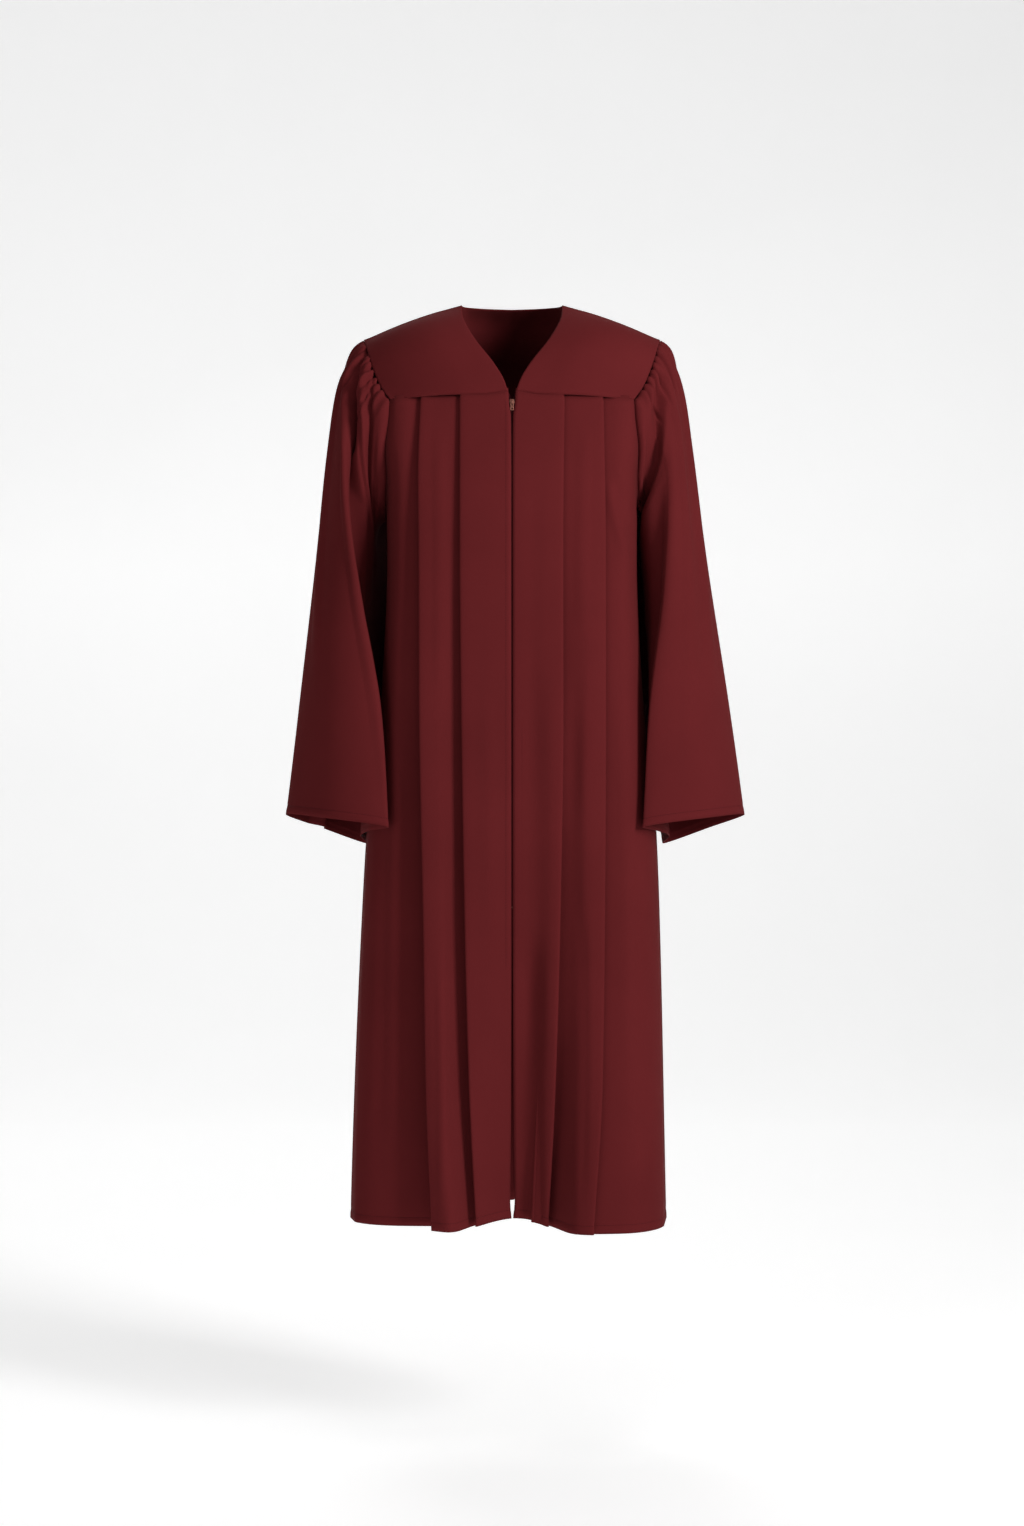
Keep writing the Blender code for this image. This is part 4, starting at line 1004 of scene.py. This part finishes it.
def solid_object(name, mesh, material):
    """An object from an open mesh, which is freed."""
    data = bpy.data.meshes.new(name)
    mesh.to_mesh(data)
    mesh.free()
    data.shade_smooth()
    data.materials.append(material)
    return linked(name, data)


def cloth_object(name, grid, material, closed=False, thickness=CLOTH):
    """Cloth on a grid of points, with a map in real metres for its weave, and its own thickness."""
    rows, columns = grid.shape[:2]
    index = np.arange(rows * columns).reshape(rows, columns)
    over = np.linalg.norm(np.diff(grid, axis=1), axis=2)
    across = np.concatenate([np.zeros((rows, 1)), np.cumsum(over, axis=1)], axis=1)
    across -= across.mean(axis=1, keepdims=True)
    down = np.concatenate([[0], np.cumsum(np.linalg.norm(np.diff(grid, axis=0), axis=2).mean(axis=1))])
    if closed:
        ends = np.linalg.norm(grid[:, 0] - grid[:, -1], axis=1)
        across = np.column_stack([across, across[:, -1] + ends])
        index = np.column_stack([index, index[:, 0]])
    faces = np.stack([index[:-1, :-1], index[1:, :-1], index[1:, 1:], index[:-1, 1:]], axis=-1).reshape(-1, 4)
    made = mesh_object(name, grid.reshape(-1, 3), faces, material)
    spans = index.shape[1] - 1
    i, j = np.divmod(np.arange((rows - 1) * spans), spans)
    corners = [(i, j), (i + 1, j), (i + 1, j + 1), (i, j + 1)]
    uv = np.stack([np.stack([across[a, b], down[a]], axis=-1) for a, b in corners], axis=1)
    layer = made.data.uv_layers.new(name="cut")
    layer.data.foreach_set("uv", uv.reshape(-1).astype(np.float32))
    shell = made.modifiers.new("thickness", "SOLIDIFY")
    shell.thickness = thickness
    shell.offset = 0
    shell.use_even_offset = False
    return made


# A stitch's sections: place along it, width and rise
STITCH_PROFILE = ((-0.5, 0.25, -0.6), (-0.36, 1.0, 0.1), (0.36, 1.0, 0.1), (0.5, 0.25, -0.6))


def stitches(name, points, normals):
    """A line of machine stitches on a path: short rounded threads, one pitch apart, lying on the cloth."""
    run = np.concatenate([[0], np.cumsum(np.linalg.norm(np.diff(points, axis=0), axis=1))])
    count = int(run[-1] / STITCH_PITCH)
    turns = np.linspace(0, 2 * np.pi, 6, endpoint=False)
    sides = len(turns)
    vertices, faces = [], []

    def at(place, values):
        return np.array([np.interp(place, run, values[:, k]) for k in range(3)])

    for n in range(count):
        place = (n + 0.5) * STITCH_PITCH
        ahead = at(place + STITCH / 2, points) - at(place - STITCH / 2, points)
        ahead /= np.linalg.norm(ahead)
        up = at(place, normals)
        up -= ahead * (up @ ahead)
        up /= np.linalg.norm(up)
        beside = np.cross(ahead, up)
        centre = at(place, points) + up * (CLOTH / 2)
        base = len(vertices)
        for reach, width, rise in STITCH_PROFILE:
            ring = centre + ahead * STITCH * reach + up * THREAD * rise
            for turn in turns:
                vertices.append(ring + THREAD * width * (up * math.sin(turn) * 0.8 + beside * math.cos(turn)))
        for r in range(len(STITCH_PROFILE) - 1):
            for s in range(sides):
                a = base + r * sides + s
                b = base + r * sides + (s + 1) % sides
                faces.append((a, b, b + sides, a + sides))
        faces.append(tuple(base + s for s in reversed(range(sides))))
        last = base + (len(STITCH_PROFILE) - 1) * sides
        faces.append(tuple(last + s for s in range(sides)))
    return mesh_object(name, vertices, faces, thread)


# Materials


def new_material(name):
    made = bpy.data.materials.new(name)
    made.use_nodes = True
    tree = made.node_tree
    return made, tree, tree.nodes["Principled BSDF"]


def add(tree, kind, inputs=None, **settings):
    """A node with its settings and inputs. An input is a value or another node's output."""
    node = tree.nodes.new(kind)
    for key, value in settings.items():
        setattr(node, key, value)
    for key, value in (inputs or {}).items():
        socket = node.inputs[key]
        if isinstance(value, bpy.types.NodeSocket):
            tree.links.new(value, socket)
        else:
            socket.default_value = value
    return node


def maths(tree, operation, a, b=0.0, c=0.5):
    return add(tree, "ShaderNodeMath", {0: a, 1: b, 2: c}, operation=operation).outputs[0]


def noise_on(tree, place, scale, detail):
    return add(tree, "ShaderNodeTexNoise", {"Vector": place, "Scale": scale, "Detail": detail}).outputs[0]


def bump_on(tree, height, strength, distance, **under):
    inputs = {"Height": height, "Strength": strength, "Distance": distance, **under}
    return add(tree, "ShaderNodeBump", inputs).outputs[0]


def times(colour, share):
    """A colour darkened or lightened by a share, with its alpha."""
    return (*(min(1, c * share) for c in colour), 1)


def blend_colour(tree, share, a, b):
    node = add(tree, "ShaderNodeMix", {"Factor": share}, data_type="RGBA")
    for socket, value in ((node.inputs[6], a), (node.inputs[7], b)):
        if isinstance(value, bpy.types.NodeSocket):
            tree.links.new(value, socket)
        else:
            socket.default_value = value
    return node.outputs[2]


WEAVE = 0.00055


def weave_height(tree, uv, pitch):
    """A twill of warp and weft: rounded threads whose crossings step along the diagonal."""
    split = add(tree, "ShaderNodeSeparateXYZ", {0: uv})
    u = maths(tree, "MULTIPLY", split.outputs[0], 2 * math.pi / pitch)
    v = maths(tree, "MULTIPLY", split.outputs[1], 2 * math.pi / pitch)
    warp = maths(tree, "ABSOLUTE", maths(tree, "SINE", maths(tree, "MULTIPLY", u, 0.5)))
    weft = maths(tree, "ABSOLUTE", maths(tree, "SINE", maths(tree, "MULTIPLY", v, 0.5)))
    over = maths(tree, "SINE", maths(tree, "MULTIPLY", maths(tree, "ADD", u, v), 0.5))
    over = maths(tree, "MULTIPLY_ADD", over, 0.5, 0.5)
    warp_up = maths(tree, "MULTIPLY", warp, over)
    weft_up = maths(tree, "MULTIPLY", weft, maths(tree, "SUBTRACT", 1.0, over))
    return maths(tree, "ADD", warp_up, weft_up)


def cloth_material(name, colour, pitch=WEAVE, roughness=0.72):
    """Matt woven cloth: a fine twill with painted shade in its hollows, faint slubs along the threads, and slow
    random changes of tone.
    """
    made, tree, shader = new_material(name)
    uv = add(tree, "ShaderNodeUVMap", uv_map="cut").outputs[0]
    place = add(tree, "ShaderNodeTexCoord").outputs["Object"]
    height = weave_height(tree, uv, pitch)
    slub_map = add(tree, "ShaderNodeMapping", {"Vector": uv, "Scale": (900, 60, 1)}).outputs[0]
    slub = noise_on(tree, slub_map, 1.0, 3.0)
    cloud = noise_on(tree, place, 7.0, 4.0)
    light = times(colour, 1.16)
    shade = blend_colour(tree, cloud, times(colour, 0.80), light)
    # Painted shade: the colour darkens towards a deeper maroon where the twill is low, in the hollows between
    # its threads.
    painted_hollow_shade = maths(tree, "MULTIPLY", maths(tree, "SUBTRACT", 1.0, height), 0.45)
    shade = blend_colour(tree, painted_hollow_shade, shade, times(colour, 0.62))
    shade = blend_colour(tree, maths(tree, "MULTIPLY", slub, 0.10), shade, light)
    tree.links.new(shade, shader.inputs["Base Color"])
    tree.links.new(maths(tree, "MULTIPLY_ADD", cloud, 0.10, roughness - 0.05), shader.inputs["Roughness"])
    shader.inputs["Sheen Weight"].default_value = 0.03
    shader.inputs["Sheen Roughness"].default_value = 0.45
    shader.inputs["Sheen Tint"].default_value = (1.0, 0.35, 0.32, 1)
    shader.inputs["Specular IOR Level"].default_value = 0.03
    shader.inputs["IOR"].default_value = 1.16
    weave_bump = bump_on(tree, height, 0.35, 0.00012)
    tree.links.new(bump_on(tree, slub, 0.25, 0.00015, Normal=weave_bump), shader.inputs["Normal"])
    return made


def thread_material(name, colour):
    """Twisted sewing thread."""
    made, tree, shader = new_material(name)
    place = add(tree, "ShaderNodeTexCoord").outputs["Object"]
    noise = noise_on(tree, place, 1800.0, 2.0)
    tree.links.new(blend_colour(tree, noise, times(colour, 0.7), (*colour, 1)), shader.inputs["Base Color"])
    tree.links.new(bump_on(tree, noise, 0.4, 0.0001), shader.inputs["Normal"])
    shader.inputs["Roughness"].default_value = 0.6
    shader.inputs["Specular IOR Level"].default_value = 0.25
    shader.inputs["IOR"].default_value = 1.2
    return made


def metal_material(name, colour, highlight_and_patch_colour, roughness):
    """Cast zinc with a copper-toned finish and a fine scratched grain; a lighter colour along its edges is a
    painted highlight, and random lighter patches vary its tone.
    """
    made, tree, shader = new_material(name)
    place = add(tree, "ShaderNodeTexCoord").outputs["Object"]
    grain = noise_on(tree, place, 900.0, 5.0)
    patches = noise_on(tree, place, 260.0, 3.0)
    # Painted highlight: the colour turns lighter along the sharp edges, found by pointiness. The same lighter
    # colour is also used for random patches.
    edge = add(tree, "ShaderNodeNewGeometry").outputs["Pointiness"]
    spread = {"Value": edge, "From Min": 0.52, "From Max": 0.60, "To Min": 0.0, "To Max": 0.8}
    painted_edge_highlight = add(tree, "ShaderNodeMapRange", spread).outputs[0]
    share = maths(tree, "MAXIMUM", painted_edge_highlight, maths(tree, "MULTIPLY", patches, 0.35))
    tree.links.new(blend_colour(tree, share, (*colour, 1), (*highlight_and_patch_colour, 1)), shader.inputs["Base Color"])
    tree.links.new(maths(tree, "MULTIPLY_ADD", grain, 0.25, roughness - 0.10), shader.inputs["Roughness"])
    shader.inputs["Metallic"].default_value = 0.9
    tree.links.new(bump_on(tree, grain, 0.15, 0.0001), shader.inputs["Normal"])
    return made


def floor_material():
    made, tree, shader = new_material("studio_paper")
    place = add(tree, "ShaderNodeTexCoord").outputs["Object"]
    shade = blend_colour(tree, noise_on(tree, place, 3.0, 6.0), (0.86, 0.86, 0.86, 1), (0.90, 0.90, 0.90, 1))
    tree.links.new(shade, shader.inputs["Base Color"])
    shader.inputs["Roughness"].default_value = 0.9
    shader.inputs["Emission Color"].default_value = (1, 1, 1, 1)
    shader.inputs["Emission Strength"].default_value = 0.40
    return made


MAROON = (0.111, 0.0140, 0.0156)
cloth = cloth_material("maroon_cloth", MAROON)
tape_cloth = cloth_material("zip_tape_weave", (0.050, 0.006, 0.008), pitch=0.0009, roughness=0.85)
# The thread is about half as bright as the cloth: a maroon thread, darkened further as painted shade of the
# stitched lines' grooves.
thread = thread_material("maroon_thread", (0.050, 0.005, 0.0065))
coil = thread_material("zip_coil", (0.030, 0.004, 0.005))
# The second colour is the lighter one: a painted highlight on the zip metal's edges, also used for random
# patches.
copper = metal_material("zip_metal", (0.26, 0.095, 0.070), (0.46, 0.24, 0.18), 0.42)


# Zip


BEHIND_FRONT = WALL / 2 + TAPE_SETBACK + TAPE / 2
# Levels of the solids' own rows
ZIP_ROWS = [*np.linspace(HEM_LEVEL, -0.310, 9), -0.250, -0.233, -0.208, -0.180, -0.150, -0.125]
ZIP_ROWS.append(YOKE_FRONT_LEVEL)
ZIP_DEPTHS = [BODY.at("centre", level) + BEHIND_FRONT for level in ZIP_ROWS]


def zip_depth(level):
    """Middle of the tapes' thickness, in y, at any level of the zip."""
    return np.interp(level, ZIP_ROWS, ZIP_DEPTHS)


def tape_inner_edge(level):
    """How far the tape's inner edge is from the middle: closed below the slider and parted above it."""
    parted = PARTED_IN_SLIDER * ease(level, SLIDER_LEVEL - 0.001, SLIDER_LEVEL + 0.002)
    return SEAM_GAP + parted + PARTED_AT_TOP * ease(level, SLIDER_LEVEL + 0.002, ZIP_TOP)


def tape_grid(hand):
    levels = np.linspace(ZIP_TOP, ZIP_END, 240)
    rows = []
    for level in levels:
        section = front_section(level, hand, (4, 4) + FRONT_STEPS[2:])[:9]
        x = tape_inner_edge(level) + TAPE_WIDTH * np.linspace(0, 1, 7)
        y = np.interp(x, section[:, 0], section[:, 1]) + BEHIND_FRONT
        rows.append(np.column_stack([hand * x, y, np.full(7, level)]))
    return np.array(rows)


def zip_teeth(hand):
    """The coil's teeth on one tape, half a pitch apart from the other side's and meshed below the slider."""
    low, high = ZIP_END + 0.003, ZIP_TOP - 0.0008
    count = int((high - low) / TOOTH_PITCH)
    mesh = bmesh.new()
    for n in range(count):
        level = low + (n + (0.5 if hand == LEFT else 0.0)) * TOOTH_PITCH
        reach = TOOTH_ROOT + TOOTH_REACH * 0.3
        middle = tape_inner_edge(level) + TOOTH_ROOT - reach / 2
        for v in bmesh.ops.create_cube(mesh, size=1)["verts"]:
            tip = 1.0 if v.co.x < 0 else 0.75
            x = hand * (middle + v.co.x * reach)
            y = zip_depth(level) - TOOTH_OUT + v.co.y * TOOTH_DEPTH
            v.co = Vector((x, y, level + v.co.z * TOOTH_PITCH * TOOTH_HEIGHT * tip))
    bmesh.ops.recalc_face_normals(mesh, faces=mesh.faces)
    bmesh.ops.bevel(mesh, geom=list(mesh.edges), offset=TOOTH_BEVEL, segments=1, affect="EDGES")
    return solid_object("zip_teeth_left" if hand == LEFT else "zip_teeth_right", mesh, coil)


def plate(outline, low, high):
    """A flat plate with this outline in x and z, from y low to high."""
    mesh = bmesh.new()
    back = [mesh.verts.new((x, high, z)) for x, z in outline]
    front = [mesh.verts.new((x, low, z)) for x, z in outline]
    mesh.faces.new(back)
    mesh.faces.new(list(reversed(front)))
    for i in range(len(outline)):
        j = (i + 1) % len(outline)
        mesh.faces.new((back[i], front[i], front[j], back[j]))
    bmesh.ops.recalc_face_normals(mesh, faces=mesh.faces)
    return mesh


def rounded(points, radius, steps=5):
    """An outline with its corners rounded."""
    made = []
    count = len(points)
    for i, p in enumerate(points):
        p = np.array(p, float)
        before = np.array(points[i - 1], float) - p
        after = np.array(points[(i + 1) % count], float) - p
        near = min(radius, 0.45 * np.linalg.norm(before), 0.45 * np.linalg.norm(after))
        a = p + before / np.linalg.norm(before) * near
        b = p + after / np.linalg.norm(after) * near
        for t in np.linspace(0, 1, steps):
            made.append(tuple((1 - t) ** 2 * a + 2 * t * (1 - t) * p + t * t * b))
    return made


def box_outline(low_half, low, high_half, high):
    """Four corners, from the low side to the high one."""
    return [(-low_half, low), (low_half, low), (high_half, high), (-high_half, high)]


def join_solids(name, meshes, bevel):
    """One metal object from several meshes, with its edges softened."""
    whole = bmesh.new()
    for mesh in meshes:
        part = bpy.data.meshes.new("part")
        mesh.to_mesh(part)
        mesh.free()
        whole.from_mesh(part)
        bpy.data.meshes.remove(part)
    made = solid_object(name, whole, copper)
    soft = made.modifiers.new("soft_edges", "BEVEL")
    soft.width = bevel
    soft.segments = 3
    soft.limit_method = "ANGLE"
    soft.angle_limit = math.radians(35)
    return made


def swept(path, half_width, half_height):
    """A bar of rounded rectangular section along a path in the y-z plane."""
    mesh = bmesh.new()
    path = [np.array(p, float) for p in path]
    section = rounded(box_outline(half_width, -half_height, half_width, half_height), half_height * 0.9, 4)
    rings = []
    for i, p in enumerate(path):
        ahead = path[min(i + 1, len(path) - 1)] - path[max(i - 1, 0)]
        ahead /= np.linalg.norm(ahead)
        out = np.array([-ahead[1], ahead[0]])
        rings.append([mesh.verts.new((x, p[0] + out[0] * h, p[1] + out[1] * h)) for x, h in section])
    for a, b in zip(rings, rings[1:]):
        for s in range(len(section)):
            t = (s + 1) % len(section)
            mesh.faces.new((a[s], a[t], b[t], b[s]))
    mesh.faces.new(rings[0])
    mesh.faces.new(list(reversed(rings[-1])))
    bmesh.ops.recalc_face_normals(mesh, faces=mesh.faces)
    return mesh


def on_zip(obj, origin):
    """Places a slider part made round its own origin onto the tilted zip."""
    slope = (zip_depth(SLIDER_LEVEL + 0.005) - zip_depth(SLIDER_LEVEL - 0.005)) / 0.010
    tilt = math.atan(slope)
    seat = Vector((0, zip_depth(SLIDER_LEVEL), SLIDER_LEVEL))
    turn = Vector((0, origin[0], origin[1]))
    turn.rotate(Euler((-tilt, 0, 0)))
    obj.location = seat + turn
    obj.rotation_euler = (-tilt, 0, 0)
    return obj


SLIDER_WIDTH = 0.0060
SLIDER_LENGTH = 0.0085
SLIDER_PLATE = 0.0009
ARCH_DEPTH = 0.0026
ARCH_HALF_LENGTH = 0.0024
PULL_AXIS_OUT = 0.0009
PULL_LENGTH = 0.0105
PULL_WIDTH = 0.0046
PULL_THICKNESS = 0.0010


def zip_slider():
    """Two shield-shaped plates, the neck between them and a rounded arch."""
    half = SLIDER_WIDTH / 2
    near = TAPE / 2 + SEAM_GAP
    low = near + SLIDER_PLATE
    top = SLIDER_LENGTH / 2
    shoulder = top * 0.2
    shield = [(-half * 0.95, top), (half * 0.95, top), (half, shoulder)]
    shield += [(half * 0.72, -top), (-half * 0.72, -top), (-half, shoulder)]
    shield = rounded(shield, 0.0012)
    parts = [plate(shield, -low, -near), plate(shield, near, low)]
    neck = rounded(box_outline(0.0008, top - 0.0014, 0.0011, top - 0.0003), 0.0003)
    parts.append(plate(neck, -near - 0.0002, near + 0.0002))
    arch = []
    for t in np.linspace(0, math.pi, 15):
        out = -low + 0.0003 - (ARCH_DEPTH - 0.0001) * math.sin(t) ** 0.55
        arch.append((out, -ARCH_HALF_LENGTH * math.cos(t) * 0.84))
    parts.append(swept(arch, 0.00062, 0.00040))
    return join_solids("slider_body", parts, 0.00016)


def zip_pull():
    """A flat tab with a window, a rounded foot and a hole above it, hung under the arch."""
    half = PULL_WIDTH / 2
    thick = PULL_THICKNESS / 2
    bar = 0.0005
    waist = -0.0030
    outline = [
        (-half * 0.62, bar),
        (half * 0.62, bar),
        (half * 0.80, waist),
        (half, -PULL_LENGTH * 0.62),
        (half * 0.96, -PULL_LENGTH + bar),
        (-half * 0.96, -PULL_LENGTH + bar),
        (-half, -PULL_LENGTH * 0.62),
        (-half * 0.80, waist),
    ]
    body = join_solids("pull_tab_body", [plate(rounded(outline, 0.0009), -thick, thick)], 0.00018)
    window = rounded(box_outline(0.0010, -bar, 0.0011, -0.0040), 0.0006)
    hole = rounded(box_outline(0.0011, -0.0087, 0.0009, -0.0069), 0.0008)
    cutter = join_solids("pull_cut", [plate(window, -0.002, 0.002), plate(hole, -0.002, 0.002)], 0.00005)
    cutter.modifiers.clear()
    cut = body.modifiers.new("openings", "BOOLEAN")
    cut.operation = "DIFFERENCE"
    cut.solver = "EXACT"
    cut.object = cutter
    bpy.context.view_layer.objects.active = body
    body.modifiers.move(1, 0)
    deps = bpy.context.evaluated_depsgraph_get()
    data = bpy.data.meshes.new_from_object(body.evaluated_get(deps))
    body.modifiers.clear()
    body.data = data
    bpy.data.objects.remove(cutter)
    return body


# Each sheet as it is cut: its flat size and, where it isn't a plain rectangle, its area
SHEETS = {
    "front": dict(flat=(0.475, 1.030), area=0.365),
    "yoke_front": dict(flat=(0.19, 0.16), area=0.0230),
    "sleeve": dict(flat=(0.53, 0.64), area=0.260),
    "tape": dict(flat=(0.0121, 0.636)),
    "back": dict(flat=(0.62, 1.010), area=0.62),
    "yoke_back": dict(flat=(0.40, 0.21), area=0.066),
}
TAPE_SHELL = 0.0006


def placket_stitches(grid, normal, levels):
    """The line beside the front edge, down to where the zip ends."""
    path, up = [], []
    for i, level in enumerate(levels):
        if PLACKET_TO < level < PLACKET_FROM:
            x = np.abs(grid[i, :12, 0])
            path.append([np.interp(PLACKET_X, x, grid[i, :12, k]) for k in range(3)])
            up.append([np.interp(PLACKET_X, x, normal[i, :12, k]) for k in range(3)])
    return stitches("placket_stitch", np.array(path), np.array(up))


def dress():
    made = {}

    def sheet(node, kind, grid, rests_on, material=cloth, **shape):
        piece = cloth_object(f"{node}_cloth", grid, material, **shape)
        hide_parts(node)
        made[piece] = dict(SHEETS[kind], held="hung", rests_on=rests_on)
        return piece

    for hand in (LEFT, RIGHT):
        side = "left" if hand == LEFT else "right"
        yoke = f"yoke_front_{side}"
        grid, levels = front_grid(hand)
        normal = outward_normals(grid)
        whole = turned_under(grid, normal, "side")
        whole = turned_under(whole, outward_normals(whole), "top")
        front = sheet(f"front_{side}", "front", whole, [f"{yoke}_cloth"])
        row = levels.index(STITCHED_HEM)
        lines = [stitches(f"front_{side}_hem_stitch", grid[row], normal[row])]
        if hand == RIGHT:
            lines.append(placket_stitches(grid, normal, levels))
        made[front]["with_pieces"] = lines

        grid = front_yoke_grid(hand)
        sheet(yoke, "yoke_front", turned_under(grid, outward_normals(grid), "top"), ["yoke_back_cloth"])

        grid, hem_row = sleeve_grid(hand)
        normal = outward_normals(grid, closed=True)
        whole = turned_under(grid, normal, "top")
        sleeve = sheet(f"sleeve_{side}", "sleeve", whole, [f"{yoke}_cloth", "yoke_back_cloth"], closed=True)
        around = np.vstack([grid[hem_row], grid[hem_row, :1]])
        outward = np.vstack([normal[hem_row], normal[hem_row, :1]])
        made[sleeve]["with_pieces"] = [stitches(f"sleeve_{side}_hem_stitch", around, outward)]

        grid = tape_grid(hand)
        under = [f"front_{side}_cloth"]
        tape = sheet(f"zip_tape_{side}", "tape", grid, under, tape_cloth, thickness=TAPE_SHELL)
        made[tape]["with_pieces"] = [zip_teeth(hand)]

    grid, levels = back_grid()
    normal = outward_normals(grid, back=True)
    back = sheet("back", "back", turned_under(grid, normal, "top"), ["yoke_back_cloth"])
    row = levels.index(STITCHED_HEM)
    made[back]["with_pieces"] = [stitches("back_hem_stitch", grid[row], normal[row])]
    sheet("yoke_back", "yoke_back", back_yoke_grid(), [])
    return made


pieces = dress()
for piece, facts in pieces.items():
    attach(piece, "robe")
    for extra in facts.get("with_pieces", []):
        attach(extra, "robe")

near_axis = -(TAPE / 2 + SEAM_GAP + SLIDER_PLATE + PULL_AXIS_OUT)
slider = on_zip(zip_slider(), (0, 0))
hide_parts("zip_slider")
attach(slider, "robe")
pull = on_zip(zip_pull(), (near_axis, 0))
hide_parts("zip_pull")
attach(pull, "pull_tab")
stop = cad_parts["zip_stop"]
stop.data.materials.clear()
stop.data.materials.append(copper)


# Floor, light and camera

FLOOR_LEVEL = -1.410
IMAGE_HEIGHT = 1526
SENSOR = 36
DISTANCE = 3.7
PIXELS_PER_RADIAN = 2936.5
EYE_LEVEL = -0.5557

# Half width of the paper, how far back it runs flat, the radius of its sweep and how high it stands
PAPER_HALF = 6.0
PAPER_FLAT_TO = 3.2
PAPER_RADIUS = 1.4
PAPER_TOP = 6.5

sweep = [(-PAPER_HALF, FLOOR_LEVEL), (PAPER_FLAT_TO, FLOOR_LEVEL)]
for angle in np.linspace(0.1, math.pi / 2, 12):
    rise = PAPER_RADIUS * (1 - math.cos(angle))
    sweep.append((PAPER_FLAT_TO + PAPER_RADIUS * math.sin(angle), FLOOR_LEVEL + rise))
sweep.append((PAPER_FLAT_TO + PAPER_RADIUS, PAPER_TOP))
corners = [(x, y, z) for y, z in sweep for x in (-PAPER_HALF, PAPER_HALF)]
strips = [(2 * i, 2 * i + 1, 2 * i + 3, 2 * i + 2) for i in range(len(sweep) - 1)]
mesh_object("studio_floor", corners, strips, floor_material())


# Lights: place, aim, size, power and spread in degrees
LIGHTS = {
    "key": ((2.7, -2.5, 0.8), (0, 0, 0.40), (1.0, 1.8), 52, 110),
    "fill": ((-2.2, -3.3, 0.2), (0, 0, -0.5), (2.0, 2.6), 18, 180),
    "top": ((0.4, -0.9, 2.2), (0, 0, -0.4), (1.2, 1.2), 12, 180),
    "back": ((-0.9, 2.8, 2.3), (0, 0, -0.5), (1.8, 1.8), 30, 180),
}
for name, (place, aim, size, power, spread) in LIGHTS.items():
    data = bpy.data.lights.new(name, "AREA")
    data.shape = "RECTANGLE"
    data.size, data.size_y = size
    data.energy = power
    data.spread = math.radians(spread)
    light = linked(name, data)
    light.location = place
    light.rotation_euler = (Vector(aim) - Vector(place)).to_track_quat("-Z", "Y").to_euler()

world = bpy.data.worlds.new("studio")
world.use_nodes = True
background = world.node_tree.nodes["Background"]
background.inputs["Color"].default_value = (1, 1, 1, 1)
background.inputs["Strength"].default_value = 0.14
bpy.context.scene.world = world

camera_data = bpy.data.cameras.new("camera")
camera_data.sensor_fit = "VERTICAL"
camera_data.sensor_height = SENSOR
camera_data.lens = PIXELS_PER_RADIAN * SENSOR / IMAGE_HEIGHT
camera = linked("camera", camera_data)
camera.location = (0, -DISTANCE, EYE_LEVEL)
camera.rotation_euler = (math.radians(90), 0, 0)
bpy.context.scene.camera = camera
bpy.context.scene.view_settings.view_transform = "Standard"
